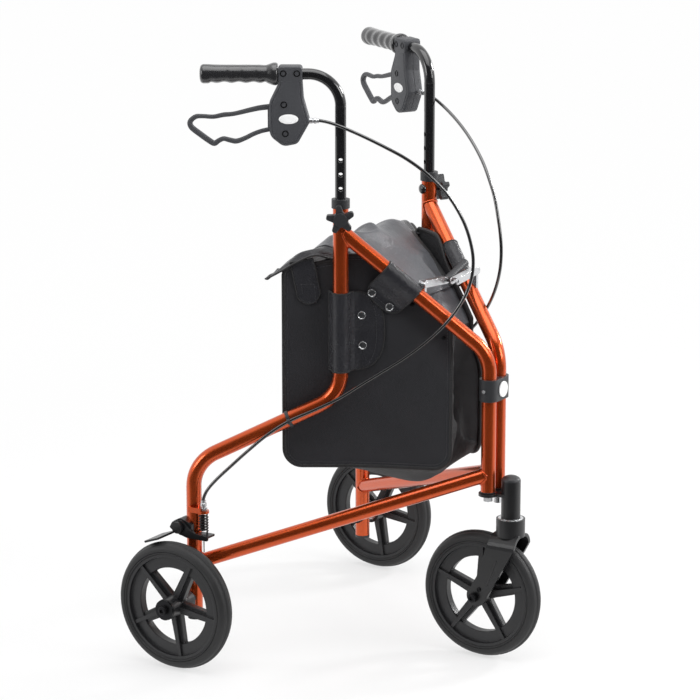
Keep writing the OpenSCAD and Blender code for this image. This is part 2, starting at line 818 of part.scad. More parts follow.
handle_tongue = 20;
handle_pin_end = 2;
handle_bore_d = 7;
handle_bore_len = 22;
handle_tilt = brace_handle_rise + link_dip;
module brace_handle() {
    tongue_h = link_h - 2 * link_wall;
    neck = link_h / 2 + brace_handle_d / 2 + face_gap;
    color(black_plastic) at_brace("right") rotate([-link_dip, 0, 0]) translate([0, link_len, 0]) {
        difference() {
            union() {
                translate([-tongue_w / 2, -handle_tongue, link_h / 2 - link_wall - weld_gap - tongue_h])
                    cube([tongue_w, handle_tongue + neck, tongue_h]);
                translate([0, neck, 0]) {
                    sphere(d = brace_handle_d + 2 * bend_seat);
                    rotate([handle_tilt, 0, 0]) rod_y(brace_handle_d, 0, brace_handle_len - neck);
                }
            }
            translate([0, neck, 0]) rotate([handle_tilt, 0, 0])
                rod_y(handle_bore_d, brace_handle_len - neck - handle_bore_len, brace_handle_len);
            rod_x(brace_pin_d, -link_w, link_w);
        }
        rod_x(brace_pin_d - 2 * weld_gap, -link_w / 2 - handle_pin_end, link_w / 2 + handle_pin_end);
    }
}

// Handlebars, in the side frame's own plane

module handlebar() {
    color(black_paint) difference() {
        bent_tube(handle_path, handle_bend_r, handlebar_d, handlebar_wall);
        for (i = [0:hole_count - 1]) {
            translate([-upright_s, 0, knob_z + (i - 1) * hole_pitch])
                rod_y(hole_d, -handlebar_d, handlebar_d);
        }
    }
}

// Grip: finger waves along its length and a flange at its front
grip_flange_r = 4;
grip_flange_len = 14;
grip_waves = 4;
grip_wave = 0.8;
grip_wave_len = (grip_len - grip_flange_len - grip_cap) / grip_waves;
function grip_radius(t) =
    t < grip_flange_len
        ? grip_d / 2 - 1 + grip_flange_r * pow(cos(90 * t / grip_flange_len), 2)
        : grip_d / 2 - grip_wave + grip_wave * cos(360 * (t - grip_flange_len) / grip_wave_len);
module grip() {
    step = 3;
    outline = concat(
        [[handlebar_r, 0]],
        [for (t = [0:step:grip_len - grip_cap]) [grip_radius(t), t]],
        [[grip_d / 2 - grip_cap / 2, grip_len - 1], [grip_d / 2 - grip_cap, grip_len], [0, grip_len]],
        [[0, grip_len - grip_cap], [handlebar_r, grip_len - grip_cap]]
    );
    color(rubber_black) translate([-grip_front_s, 0, handle_z]) rotate([0, -90, 0])
        rotate_extrude() polygon(outline);
}

// Brake housing: measured back from the front tube and down from the grip's axis
drawn_lever_drop = 63;
housing_k = lever_drop / drawn_lever_drop;
housing_front_s = lever_pivot_s - 33.5 * housing_k;
port_inset = 9;
port_drop = 2;
clamp_rise = 2.5;
housing_slot_top = lever_drop - 38 * housing_k;
housing_clamp_s = grip_front_s - face_gap - clamp_len;
function housing_corner(s, back, down, r) =
    [-(s + back * housing_k), handle_z - down * housing_k, r * housing_k];
module brake_housing() {
    outline = [
        housing_corner(housing_clamp_s + clamp_len, 0, 0, 2),
        housing_corner(housing_clamp_s + clamp_len, 0, 14, 6),
        housing_corner(lever_pivot_s, 24, 40, 18),
        housing_corner(lever_pivot_s, 23, 86, 16),
        housing_corner(lever_pivot_s, 4, 101, 14),
        housing_corner(lever_pivot_s, -16, 97, 10),
        housing_corner(housing_front_s, 0, 66, 6),
        housing_corner(housing_front_s, 9, 34, 14),
        housing_corner(housing_clamp_s, 0, 10, 3),
        housing_corner(housing_clamp_s, 0, 0, 2)
    ];
    color(black_plastic) difference() {
        union() {
            upright_plate(outline, housing_w);
            translate([-housing_clamp_s - clamp_len / 2, 0, handle_z + clamp_rise])
                upright_plate(
                    [for (x = [-1, 1]) for (z = [-x, x]) [x * clamp_len / 2, z * clamp_h / 2, 3]],
                    housing_w + 2
                );
        }
        translate([-upright_s, 0, handle_z]) rotate([0, -90, 0])
            cylinder(r = handlebar_r, h = grip_front_s);
        lever_slot();
        translate([-lever_pivot_s, 0, handle_z - lever_drop]) rod_y(lever_pin_d, -housing_w, housing_w);
        screw_places() rod_y(screw_d, -screw_depth, 1);
        at_port() cylinder(d = barrel_d, h = port_inset + 3);
    }
}

// The port for the cable, with +Z forwards out of the housing
module at_port() {
    translate([-housing_front_s - port_inset, -port_out, handle_z - lever_drop - port_drop])
        rotate([0, 90, 0]) children();
}

// Room for the lever's root, open behind and below
slot_front = 16;
slot_back = 60;
slot_low = 120;
module lever_slot() {
    slot_w = lever_t + 2 * face_gap;
    translate([-(lever_pivot_s + slot_back), -slot_w / 2, handle_z - slot_low])
        cube([slot_back + slot_front, slot_w, slot_low - housing_slot_top]);
}

// Screws on both faces of the housing and its clamp
screw_d = 5;
screw_head_d = 9;
screw_head_t = 1.6;
screw_depth = 4;
clamp_screw = 9.5;
module screw_places() {
    spots = [
        [lever_pivot_s + 3, -lever_drop + 21.6, housing_w / 2],
        [lever_pivot_s + 1, -lever_drop - 19.4, housing_w / 2],
        [housing_clamp_s + clamp_len / 2 - clamp_screw, clamp_rise, housing_w / 2 + 1],
        [housing_clamp_s + clamp_len / 2 + clamp_screw, clamp_rise, housing_w / 2 + 1]
    ];
    for (p = spots) {
        translate([-p.x, 0, handle_z + p.y]) {
            translate([0, p.z, 0]) children();
            mirror([0, 1, 0]) translate([0, p.z, 0]) children();
        }
    }
}

// Pivot pin, screws and the barrel that takes the cable
port_len = 12;
module lever_hardware() {
    color(bright_steel) {
        translate([-lever_pivot_s, 0, handle_z - lever_drop])
            rod_y(lever_pin_d, -housing_w / 2 + 1, housing_w / 2 - 1);
        screw_places() {
            rod_y(screw_d, -screw_depth, 0);
            rod_y(screw_head_d, 0, screw_head_t);
        }
        at_port() difference() {
            cylinder(d = barrel_d, h = port_inset + port_len);
            translate([0, 0, port_inset + port_len - barrel_seat]) cylinder(d = cable_d, h = barrel_seat + 1);
        }
    }
}

// Lever: a closed loop for the fingers on a root that turns in the housing, from its pivot
drawn_lever_len = 139;
function reached(points) = [for (p = points) p * lever_len / drawn_lever_len];
module brake_lever() {
    loop = [
        [8, 13, 5], [-25, 23, 2], [-72, 10.5, 20], [-101, 6, 20], [-126.5, 7, 14], [-139, -5, 9],
        [-135, -17, 8], [-104, -39, 7], [-90, -32, 8], [-71, -36, 9], [-48, -26, 20], [-25, -18, 6],
        [8, -13, 5]
    ];
    fingers = [
        [-32, 13.5, 3], [-72, 3.5, 18], [-101, -1, 18], [-122.5, 0, 8], [-131, -7, 4], [-126, -14, 5],
        [-104, -31, 4], [-90, -25, 8], [-71, -28, 9], [-48, -19, 16], [-32, -13, 3]
    ];
    color(black_plastic) translate([-lever_pivot_s, 0, handle_z - lever_drop]) difference() {
        upright_plate(reached(loop), lever_t);
        upright_plate(reached(fingers), lever_t + 2);
        rod_y(lever_pin_d + 2 * running_fit, -lever_t, lever_t);
    }
}

// Star knob outside the collar; its stud stops just short of the handlebar
knob_points = 5;
knob_hub_r = 9.5;
knob_tip_w = 6.4;
knob_tip_r = 3;
knob_valley_r = 3;
knob_turn = 98;
function around(r, a) = [r * cos(a), r * sin(a)];
function knob_outline() = [
    for (i = [0:knob_points - 1])
        let (
            a = 360 * i / knob_points + knob_turn,
            half = asin(knob_tip_w / 2 / knob_r),
            valley = a + 180 / knob_points
        )
        each [
            concat(around(knob_r, a - half), knob_tip_r),
            concat(around(knob_r, a + half), knob_tip_r),
            concat(around(knob_hub_r, valley), knob_valley_r)
        ]
];
module star_knob() {
    inner = -collar_d / 2 - face_gap;
    color(black_plastic) translate([-upright_s, 0, knob_z]) {
        rod_y(stud_d, inner, -handlebar_r - face_gap);
        rotate([90, 0, 0]) translate([0, 0, -inner]) {
            linear_extrude(knob_t) polygon(rounded(knob_outline()));
            cylinder(r = knob_hub_r, h = knob_t + 2);
        }
    }
}

// Wheels, on an axle along Y

rim_recess = 5;
bearing_inset = 1.5;
rim_lip = 4;
rear_spoke_turn = -8;
front_spoke_turn = 15.5;
module rim(hub_len, phase) {
    outline = [
        [rim_inner_d / 2, -rim_w / 2 + rim_recess + 1], [rim_inner_d / 2 + 1, -rim_w / 2 + rim_recess],
        [rim_d / 2 - rim_lip - 1, -rim_w / 2 + rim_recess], [rim_d / 2 - rim_lip, -rim_w / 2],
        [rim_d / 2, -rim_w / 2]
    ];
    both = concat(outline, [for (i = [len(outline) - 1:-1:0]) [outline[i].x, -outline[i].y]]);
    color(black_plastic) rotate([90, 0, 0]) difference() {
        union() {
            rotate_extrude() polygon(both);
            cylinder(d = hub_d, h = hub_len, center = true);
            for (i = [0:spoke_count - 1]) {
                rotate([0, 0, 360 * i / spoke_count + phase]) spoke();
            }
        }
        cylinder(d = axle_d + 4, h = hub_len + 2, center = true);
        for (way = [-1, 1]) {
            translate([0, 0, way * (hub_len / 2 - bearing_inset - bearing_w / 2)]) {
                cylinder(d = bearing_d, h = bearing_w, center = true);
                translate([0, 0, way * bearing_w / 2])
                    cylinder(d = bearing_d, h = 2 * (bearing_inset + 1), center = true);
            }
        }
    }
}

// A spoke is a broad web with a narrow rib along both of its faces, up to the rim's lip
rib_w = 5;
rib_depth = 20;
web_depth = 9;
module spoke() {
    web_end = rim_inner_d / 2 + 2;
    rib_end = rim_d / 2 - rim_lip + 0.5;
    linear_extrude(web_depth, center = true) polygon([
        [0, -spoke_w / 2 - 1], [web_end, -spoke_w / 2 + 1], [web_end, spoke_w / 2 - 1], [0, spoke_w / 2 + 1]
    ]);
    linear_extrude(rib_depth, center = true) polygon([
        [0, -rib_w / 2 - 1], [rib_end, -rib_w / 2], [rib_end, rib_w / 2], [0, rib_w / 2 + 1]
    ]);
}

// Tyre: a grooved side, a rounded shoulder and a crowned tread, drawn from the tread inwards
shoulder = 9;
tread_crown = 2.5;
groove_w = 1.4;
groove_depth = 0.9;
GROOVES = [rim_d / 2 + 3.4];
module tyre() {
    shoulder_r = wheel_r - tread_crown - shoulder;
    arc = [for (a = [0:15:90]) [shoulder_r + shoulder * cos(a), tyre_w / 2 - shoulder + shoulder * sin(a)]];
    sides = [
        for (r = GROOVES) each [
            [r + groove_w / 2, tyre_w / 2],
            [r, tyre_w / 2 - groove_depth],
            [r - groove_w / 2, tyre_w / 2]
        ]
    ];
    half = concat(
        [[wheel_r, 0], [wheel_r - tread_crown / 3, (tyre_w / 2 - shoulder) * 0.6]],
        arc,
        sides,
        [[rim_d / 2 + 1.5, tyre_w / 2], [rim_d / 2, rim_w / 2]]
    );
    both = concat(half, [for (i = [len(half) - 1:-1:1]) [half[i].x, -half[i].y]]);
    color(rubber_black) rotate([90, 0, 0]) rotate_extrude() polygon(both);
}

module bearings(hub_len) {
    color(bright_steel) rotate([90, 0, 0]) for (way = [-1, 1]) {
        translate([0, 0, way * (hub_len / 2 - bearing_inset - bearing_w / 2)]) difference() {
            cylinder(d = bearing_d, h = bearing_w, center = true);
            cylinder(d = axle_d + 2 * running_fit, h = bearing_w + 2, center = true);
        }
    }
}

module at_rear_wheel() {
    at_leg() translate([0, -wheel_offset, axle_z]) children();
}

module at_front_wheel() {
    translate([front_axle_x, 0, axle_z]) children();
}

// Front hinge and caster

plate_top = front_bottom_z - hinge_flange_t - face_gap;
plate_edge = 3;
module caster_head() {
    color(black_paint) difference() {
        union() {
            translate([post_x, 0, post_bottom_z]) cylinder(d = post_d, h = post_top_z - post_bottom_z);
            translate([hinge_x, 0, plate_top - plate_t]) {
                for (way = [-1, 1]) {
                    translate([0, way * hinge_y, 0]) cylinder(r = front_r + plate_edge, h = plate_t);
                }
                translate([-front_r - plate_edge, -hinge_y, 0])
                    cube([2 * (front_r + plate_edge), hinge_spacing, plate_t]);
                translate([0, -hinge_y, 0]) cube([post_offset, hinge_spacing, plate_t]);
            }
        }
        translate([post_x, 0, post_bottom_z - 1])
            cylinder(d = head_bearing_d, h = post_top_z - post_bottom_z + 2);
        for (way = [-1, 1]) {
            translate([hinge_x, way * hinge_y, plate_top - plate_t - 1])
                cylinder(d = hinge_bolt_d, h = plate_t + 2);
        }
    }
}

head_bearing_d = 22;
head_bearing_h = 8;
cap_plug = 6;
module post_cap() {
    color(black_plastic) translate([post_x, 0, post_top_z]) {
        translate([0, 0, -cap_plug]) cylinder(d = head_bearing_d, h = cap_plug);
        rotate_extrude() polygon(concat(
            [[0, 0]],
            [for (a = [0:10:90]) [post_d / 2 * cos(a), cap_h * sin(a)]]
        ));
    }
}

module head_bearings() {
    color(bright_steel) for (z = [post_bottom_z, post_top_z - cap_plug - head_bearing_h]) {
        translate([post_x, 0, z]) difference() {
            cylinder(d = head_bearing_d, h = head_bearing_h);
            translate([0, 0, -1]) cylinder(d = stem_d + 2 * running_fit, h = head_bearing_h + 2);
        }
    }
}

clip_screw_len = 2.5;
module hinge_clip() {
    clip_r = front_r + clip_wall;
    color(black_plastic) translate([hinge_x, 0, clip_z - clip_h / 2]) difference() {
        union() {
            for (way = [-1, 1]) {
                translate([0, way * hinge_y, 0]) cylinder(r = clip_r, h = clip_h);
            }
            translate([-clip_r, -hinge_y, 0]) cube([2 * clip_r, hinge_spacing, clip_h]);
            translate([0, 0, clip_h / 2]) rod_x(clip_disc_d, 0, clip_r + 1.5);
        }
        for (way = [-1, 1]) {
            translate([0, way * hinge_y, -1]) cylinder(r = front_r + running_fit, h = clip_h + 2);
            translate([0, way * (hinge_y + clip_r), clip_h / 2])
                rod_y(screw_d, -clip_screw_len, clip_screw_len);
        }
    }
}

// Pivot bolts up into the front tubes, a nut under the right one and a long cap under the left
// one, and the clip's two side screws
bolt_nut_h = 8;
bolt_nut_d = 15;
bolt_cap_h = 17;
bolt_cap_d = 11;
module hinge_bolts() {
    color(bright_steel) {
        for (way = [-1, 1]) {
            translate([hinge_x, way * hinge_y, plate_top - plate_t])
                cylinder(d = hinge_bolt_d, h = plate_t + hinge_plug_len);
            translate([hinge_x, way * (hinge_y + front_r + clip_wall), clip_z])
                rod_y(screw_d, -clip_screw_len, clip_screw_len);
        }
        translate([hinge_x, -hinge_y, plate_top - plate_t - bolt_nut_h])
            cylinder(d = bolt_nut_d, h = bolt_nut_h, $fn = 6);
        translate([hinge_x, hinge_y, plate_top - plate_t - bolt_cap_h])
            cylinder(d = bolt_cap_d, h = bolt_cap_h);
    }
}

// Caster fork: an arch seen from the front and a raked leg seen from the side, under a cup
fork_gap = front_hub_len + 1;
fork_half = fork_gap / 2 + fork_t;
washer_t = 0.8;
washer_d = 31;
crown_top = post_bottom_z - face_gap - washer_t;
crown_z = crown_top - cup_h - fork_t;
crown_front = 20;
crown_back = 22;
function arch(half, top, r) = [[half, top, r], [-half, top, r], [-half, 0, 1], [half, 0, 1]];
module caster_fork() {
    leg = [
        [crown_front, crown_z + fork_t, 3],
        [-crown_back, crown_z + fork_t, 3],
        [-crown_back - 2, crown_z - 8, 12],
        [-trail + 5, axle_z + 35, 30],
        [-trail - 11, axle_z + 6, 10],
        [-trail - 9, axle_z - fork_foot, 8],
        [-trail + 14, axle_z - fork_foot, 9],
        [-trail + 24, axle_z + 8, 14],
        [6, crown_z - 38, 40],
        [crown_front - 1, crown_z - 14, 8]
    ];
    color(black_paint) translate([post_x, 0, 0]) difference() {
        union() {
            intersection() {
                upright_plate(leg, 2 * fork_half + 2);
                rotate([90, 0, 90]) linear_extrude(4 * trail, center = true) difference() {
                    polygon(rounded(arch(fork_half, crown_z + fork_t, fork_arch_r), 7));
                    polygon(rounded(arch(fork_gap / 2, crown_z, fork_arch_r - fork_t), 7));
                }
            }
            translate([0, 0, crown_z]) cylinder(d = cup_d, h = cup_h + fork_t);
        }
        translate([0, 0, crown_z - 1]) cylinder(d = stem_d, h = cup_h + fork_t + 2);
        translate([-trail, 0, axle_z]) rod_y(axle_d, -fork_half - 1, fork_half + 1);
    }
}

module swivel_stem() {
    color(bright_steel) translate([post_x, 0, 0]) {
        translate([0, 0, crown_z]) cylinder(d = stem_d, h = post_top_z - cap_plug - 1 - crown_z);
        translate([0, 0, crown_top]) cylinder(d = washer_d, h = washer_t);
    }
}

module front_axle() {
    color(bright_steel) at_front_wheel() {
        rod_y(axle_d, -fork_half, fork_half);
        for (way = [-1, 1]) {
            translate([0, way * (fork_half + axle_end_t / 2), 0])
                rod_y(axle_nut_d, -axle_end_t / 2, axle_end_t / 2);
        }
    }
}

// Bag: two padded side panels inside the frames, joined by folding cloth walls. The front part of
// a panel turns outwards along a line ahead of the upright

panel_in = tube_r + tie_t + face_gap;
panel_mid = panel_in + panel_t / 2;
diag_clear = tube_d;
panel_slope = tan(diag_slope);
panel_rise_s = 145;
panel_crown_s = 203;
panel_crown = 12;
bow_s = 190;
bow_angle = atan2(bag_bow, bow_s - bag_front_s);
function panel_bow(s) = max(0, bow_s - s) * tan(bow_angle);
function panel_outline() = [
    [-bag_rear_s, bag_bottom_z, 14],
    [-bag_front_s, bag_bottom_z, 14],
    [-bag_front_s, diag_bend_z + bag_front_s * panel_slope - diag_clear, 12],
    [-panel_rise_s, diag_bend_z + panel_rise_s * panel_slope, 20],
    [-panel_crown_s, bag_top_z + panel_crown, 20],
    [-bag_rear_s, bag_top_z, 12]
];

// The stretch of a panel between two distances behind the front tube
module panel_stretch(front_s, rear_s) {
    rotate([90, 0, 0]) linear_extrude(panel_t, center = true) intersection() {
        polygon(rounded(panel_outline()));
        translate([-rear_s, 0]) square([rear_s - front_s, upright_top_z]);
    }
}

module bag_panel() {
    color(bag_black) difference() {
        union() {
            translate([0, panel_mid, 0]) panel_stretch(bow_s, bag_rear_s + 1);
            translate([-bow_s, panel_mid, 0]) rotate([0, 0, -bow_angle]) translate([bow_s, 0, 0])
                panel_stretch(bag_front_s - 1, bow_s + 1);
            upright_sleeve();
            diag_sleeve();
        }
        translate([-upright_s, 0, sleeve_z - 1]) cylinder(r = panel_in, h = sleeve_h + 2);
        on_slope(panel_rise_s) cylinder(r = panel_in, h = upright_s, center = true);
    }
}

// A place on the axis of the sloping tube, with +Z up along the tube
module on_slope(s) {
    translate([-s, 0, diag_bend_z + s * panel_slope]) rotate([0, diag_slope, 0]) rotate([0, -90, 0])
        children();
}

// The sleeve goes round the upright and runs off straight onto the panel
flap_reach = 50;
module upright_sleeve() {
    sleeve_r = panel_in + cloth_t;
    translate([-upright_s, 0, sleeve_z]) linear_extrude(sleeve_h) {
        circle(r = sleeve_r);
        polygon([[0, -sleeve_r], [flap_reach, panel_in], [flap_reach, sleeve_r], [0, sleeve_r]]);
    }
}

diag_sleeve_s = 133;
module diag_sleeve() {
    sleeve_r = panel_in + cloth_t;
    on_slope(diag_sleeve_s) linear_extrude(diag_sleeve_len, center = true) {
        circle(r = sleeve_r);
        translate([-sleeve_r, 0]) square([sleeve_r, sleeve_r]);
    }
}

// Rows of the bag's folding walls, from the rear top round the bottom to the front top
wall_in = panel_in + panel_t + face_gap;
wall_top_front = diag_bend_z + 30;
wall_top_rear = bag_top_z - 6;
crease_rear = 28;
crease_front = 20;
wall_edge = 4;
function wall_row(s, z, fold_x, fold_z, in) =
    let (out = panel_bow(s) - wall_in - in)
    [side_point(s, out, z, -1), [fold_x, 0, fold_z], side_point(s, out, z, 1)];
function bag_wall(in) =
    let (
        rear = bag_rear_s - wall_edge - in,
        front = bag_front_s + wall_edge + in,
        low = bag_bottom_z + wall_edge + in,
        rear_x = side_point(bag_rear_s, 0, 0, 1).x + crease_rear + in,
        mid_x = side_point((bag_rear_s + bag_front_s) / 2, 0, 0, 1).x,
        front_x = side_point(bag_front_s, 0, 0, 1).x - crease_front - in
    )
    [
        wall_row(rear, wall_top_rear, rear_x, wall_top_rear, in / 2),
        wall_row(rear, low, rear_x, low - bag_sag * 0.8, in / 2),
        wall_row(bow_s, low, mid_x, low - bag_sag, in / 2),
        wall_row(front, low, front_x, low - bag_sag * 0.2, in / 2),
        wall_row(front, wall_top_front, front_x, wall_top_front, in / 2)
    ];
module bag_body() {
    color(bag_black) cloth(bag_wall(0), bag_wall(cloth_t));
}

// Lid: turns up about the hem at its front edge
lid_in = panel_in + cloth_t + face_gap;
lid_front_s = 106;
lid_hinge_z = 549;
hem_d = 5;
lid_rows = [
    [lid_front_s, lid_hinge_z, 0],
    [160, 578, 3],
    [206, 604, 4],
    [250, 607, 3],
    [288, 594, 0],
    [304, 572, -3]
];
lid_hem_end = 4;
function lid_edge(p, under, way) = side_point(p.x, -lid_in, p.y - under, way);
function lid_row(p, under) = [
    lid_edge(p, under, -1),
    [lid_edge(p, under, 1).x, 0, p.y + p.z - under],
    lid_edge(p, under, 1)
];
module bag_lid() {
    color(bag_grey) {
        cloth(
            [for (p = lid_rows) lid_row(p, cloth_t / 2)],
            [for (p = lid_rows) lid_row(p, -cloth_t / 2)]
        );
        hem = lid_edge(lid_rows[0], 0, 1) - [0, lid_hem_end, 0];
        translate([hem.x, 0, hem.z]) rod_y(hem_d, -hem.y, hem.y);
    }
}

// Side pieces
for (side = ["right", "left"]) {
    on_side(side) rear_tube();
    on_side(side) front_tube();
    on_side(side) lower_tube();
    on_side(side) tube_fittings();
    on_side(side) frame_hardware();
    on_side(side) wheel_axle();
    on_side(side) brake_bracket();
    on_side(side) brake_spring();
    on_side(side) brake_cable();
    on_side(side) bag_panel();
    brace_bracket(side);
    on_side(side) handlebar();
    on_side(side) grip();
    on_side(side) brake_housing();
    on_side(side) lever_hardware();
    on_side(side) brake_lever();
    on_side(side) star_knob();
    on_side(side) at_rear_wheel() rim(rear_hub_len, rear_spoke_turn);
    on_side(side) at_rear_wheel() tyre();
    on_side(side) at_rear_wheel() bearings(rear_hub_len);
    on_side(side) brake_arm();
}

// Pieces on the centre line
caster_head();
post_cap();
head_bearings();
hinge_clip();
hinge_bolts();
caster_fork();
swivel_stem();
front_axle();
at_front_wheel() rim(front_hub_len, front_spoke_turn);  // front_rim
at_front_wheel() tyre();  // front_tyre
at_front_wheel() bearings(front_hub_len);  // front_bearings
brace_link("right");  // right_brace_link
brace_link("left");  // left_brace_link
brace_handle();
bag_body();
bag_lid();
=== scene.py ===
"""Finishes, bag, grips, levers, cables and studio of a three wheel rollator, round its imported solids."""

import json
import math
from math import cos, exp, pi, radians, sin, sqrt

import bmesh
import bpy
from bpy.props import FloatProperty, FloatVectorProperty, PointerProperty
from bpy.types import Operator, Panel, PropertyGroup
from mathutils import Vector, noise
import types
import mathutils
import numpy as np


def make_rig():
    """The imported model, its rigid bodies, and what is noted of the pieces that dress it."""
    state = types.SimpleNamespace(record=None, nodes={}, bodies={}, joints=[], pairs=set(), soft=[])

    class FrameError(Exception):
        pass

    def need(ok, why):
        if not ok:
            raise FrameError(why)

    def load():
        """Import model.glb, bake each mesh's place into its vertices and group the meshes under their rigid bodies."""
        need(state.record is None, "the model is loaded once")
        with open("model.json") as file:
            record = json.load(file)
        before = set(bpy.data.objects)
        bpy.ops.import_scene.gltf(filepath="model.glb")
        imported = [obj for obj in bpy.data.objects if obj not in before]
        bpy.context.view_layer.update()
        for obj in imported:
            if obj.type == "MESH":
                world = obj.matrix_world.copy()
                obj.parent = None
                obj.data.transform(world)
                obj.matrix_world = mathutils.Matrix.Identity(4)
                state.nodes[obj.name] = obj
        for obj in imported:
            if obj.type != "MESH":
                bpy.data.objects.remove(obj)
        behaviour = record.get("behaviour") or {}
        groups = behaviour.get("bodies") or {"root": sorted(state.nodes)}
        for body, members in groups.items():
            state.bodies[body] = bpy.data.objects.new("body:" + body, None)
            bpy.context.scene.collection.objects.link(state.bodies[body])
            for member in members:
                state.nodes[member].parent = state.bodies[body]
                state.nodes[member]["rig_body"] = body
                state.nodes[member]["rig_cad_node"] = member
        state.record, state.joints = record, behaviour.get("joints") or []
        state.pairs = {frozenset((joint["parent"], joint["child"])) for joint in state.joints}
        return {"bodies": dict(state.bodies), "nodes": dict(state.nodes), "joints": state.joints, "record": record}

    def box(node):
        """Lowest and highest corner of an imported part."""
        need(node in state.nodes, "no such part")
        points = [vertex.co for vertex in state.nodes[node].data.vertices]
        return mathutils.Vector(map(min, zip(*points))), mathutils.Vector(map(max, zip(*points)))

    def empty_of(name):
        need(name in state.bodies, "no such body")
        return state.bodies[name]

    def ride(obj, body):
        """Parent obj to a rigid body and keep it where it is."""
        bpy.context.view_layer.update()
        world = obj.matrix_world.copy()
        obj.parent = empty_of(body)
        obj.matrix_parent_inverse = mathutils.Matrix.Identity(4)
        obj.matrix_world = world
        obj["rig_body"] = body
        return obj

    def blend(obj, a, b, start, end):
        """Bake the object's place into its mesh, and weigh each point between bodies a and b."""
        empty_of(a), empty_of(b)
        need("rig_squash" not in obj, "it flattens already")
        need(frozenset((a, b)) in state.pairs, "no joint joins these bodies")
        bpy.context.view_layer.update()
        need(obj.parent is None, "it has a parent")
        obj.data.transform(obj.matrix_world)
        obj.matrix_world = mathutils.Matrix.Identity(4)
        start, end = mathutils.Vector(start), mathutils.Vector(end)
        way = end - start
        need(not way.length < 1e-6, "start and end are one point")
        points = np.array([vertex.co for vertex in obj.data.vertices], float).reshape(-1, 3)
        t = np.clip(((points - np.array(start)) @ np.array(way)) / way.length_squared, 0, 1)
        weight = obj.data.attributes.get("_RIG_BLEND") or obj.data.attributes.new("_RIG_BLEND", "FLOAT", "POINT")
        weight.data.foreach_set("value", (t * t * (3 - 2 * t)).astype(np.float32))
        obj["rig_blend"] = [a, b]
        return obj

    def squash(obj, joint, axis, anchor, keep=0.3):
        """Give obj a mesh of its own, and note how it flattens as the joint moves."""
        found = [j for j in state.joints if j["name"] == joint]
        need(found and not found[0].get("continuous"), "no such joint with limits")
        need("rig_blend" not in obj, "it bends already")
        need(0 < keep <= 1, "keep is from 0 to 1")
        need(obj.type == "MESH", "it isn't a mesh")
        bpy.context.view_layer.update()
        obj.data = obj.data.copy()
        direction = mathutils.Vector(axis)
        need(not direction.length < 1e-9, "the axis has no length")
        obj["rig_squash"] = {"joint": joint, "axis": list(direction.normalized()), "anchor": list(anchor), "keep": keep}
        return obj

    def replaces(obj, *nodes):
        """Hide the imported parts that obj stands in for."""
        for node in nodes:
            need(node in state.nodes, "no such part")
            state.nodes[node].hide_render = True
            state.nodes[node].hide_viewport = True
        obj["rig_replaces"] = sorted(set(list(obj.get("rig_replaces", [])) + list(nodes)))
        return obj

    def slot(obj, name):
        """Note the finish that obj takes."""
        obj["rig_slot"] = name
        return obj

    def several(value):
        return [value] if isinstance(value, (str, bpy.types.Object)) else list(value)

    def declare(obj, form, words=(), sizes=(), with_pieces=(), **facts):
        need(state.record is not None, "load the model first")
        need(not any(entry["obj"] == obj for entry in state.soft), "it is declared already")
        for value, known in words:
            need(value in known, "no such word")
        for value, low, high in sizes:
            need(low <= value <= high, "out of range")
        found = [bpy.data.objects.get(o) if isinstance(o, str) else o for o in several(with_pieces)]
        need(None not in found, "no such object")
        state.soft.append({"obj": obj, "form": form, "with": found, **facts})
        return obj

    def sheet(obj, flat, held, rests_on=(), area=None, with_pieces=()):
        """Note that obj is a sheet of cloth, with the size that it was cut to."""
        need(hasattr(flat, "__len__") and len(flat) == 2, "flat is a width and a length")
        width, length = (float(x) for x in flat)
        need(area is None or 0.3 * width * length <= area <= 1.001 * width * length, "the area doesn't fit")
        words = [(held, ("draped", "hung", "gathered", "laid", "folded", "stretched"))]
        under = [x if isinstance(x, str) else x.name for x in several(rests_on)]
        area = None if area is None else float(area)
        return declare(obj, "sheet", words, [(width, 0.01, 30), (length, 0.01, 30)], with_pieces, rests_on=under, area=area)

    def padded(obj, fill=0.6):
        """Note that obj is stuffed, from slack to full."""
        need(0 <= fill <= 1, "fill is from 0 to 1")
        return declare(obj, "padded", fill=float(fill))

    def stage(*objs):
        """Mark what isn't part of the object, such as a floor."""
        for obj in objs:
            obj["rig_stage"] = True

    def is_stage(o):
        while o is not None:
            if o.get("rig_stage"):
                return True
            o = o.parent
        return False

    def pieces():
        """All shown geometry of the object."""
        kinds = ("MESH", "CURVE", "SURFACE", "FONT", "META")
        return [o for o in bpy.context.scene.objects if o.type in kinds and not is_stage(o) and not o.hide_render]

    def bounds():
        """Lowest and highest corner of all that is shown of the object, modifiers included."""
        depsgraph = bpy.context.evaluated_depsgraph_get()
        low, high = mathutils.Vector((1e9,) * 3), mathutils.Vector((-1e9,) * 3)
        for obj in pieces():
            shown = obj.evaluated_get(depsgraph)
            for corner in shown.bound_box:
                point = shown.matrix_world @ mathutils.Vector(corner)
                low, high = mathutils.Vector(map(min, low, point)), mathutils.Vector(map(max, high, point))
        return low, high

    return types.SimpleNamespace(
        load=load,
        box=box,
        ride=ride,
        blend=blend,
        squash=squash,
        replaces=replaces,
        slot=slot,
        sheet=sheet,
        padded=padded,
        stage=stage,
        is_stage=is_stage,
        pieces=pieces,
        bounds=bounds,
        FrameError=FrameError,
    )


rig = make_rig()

bl_info = {
    "name": "Three wheel rollator",
    "version": (1, 0, 0),
    "blender": (4, 5, 0),
    "location": "View3D > Sidebar > Rollator",
    "description": "Dresses the packed rollator: paint, plastics, rubber, soft bag, grips, levers and cables",
    "category": "Object",
}

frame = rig.load()
CAD_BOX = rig.bounds()
JOINTS = {joint["name"]: joint for joint in frame["joints"]}
SIDES = (("right", -1), ("left", 1))

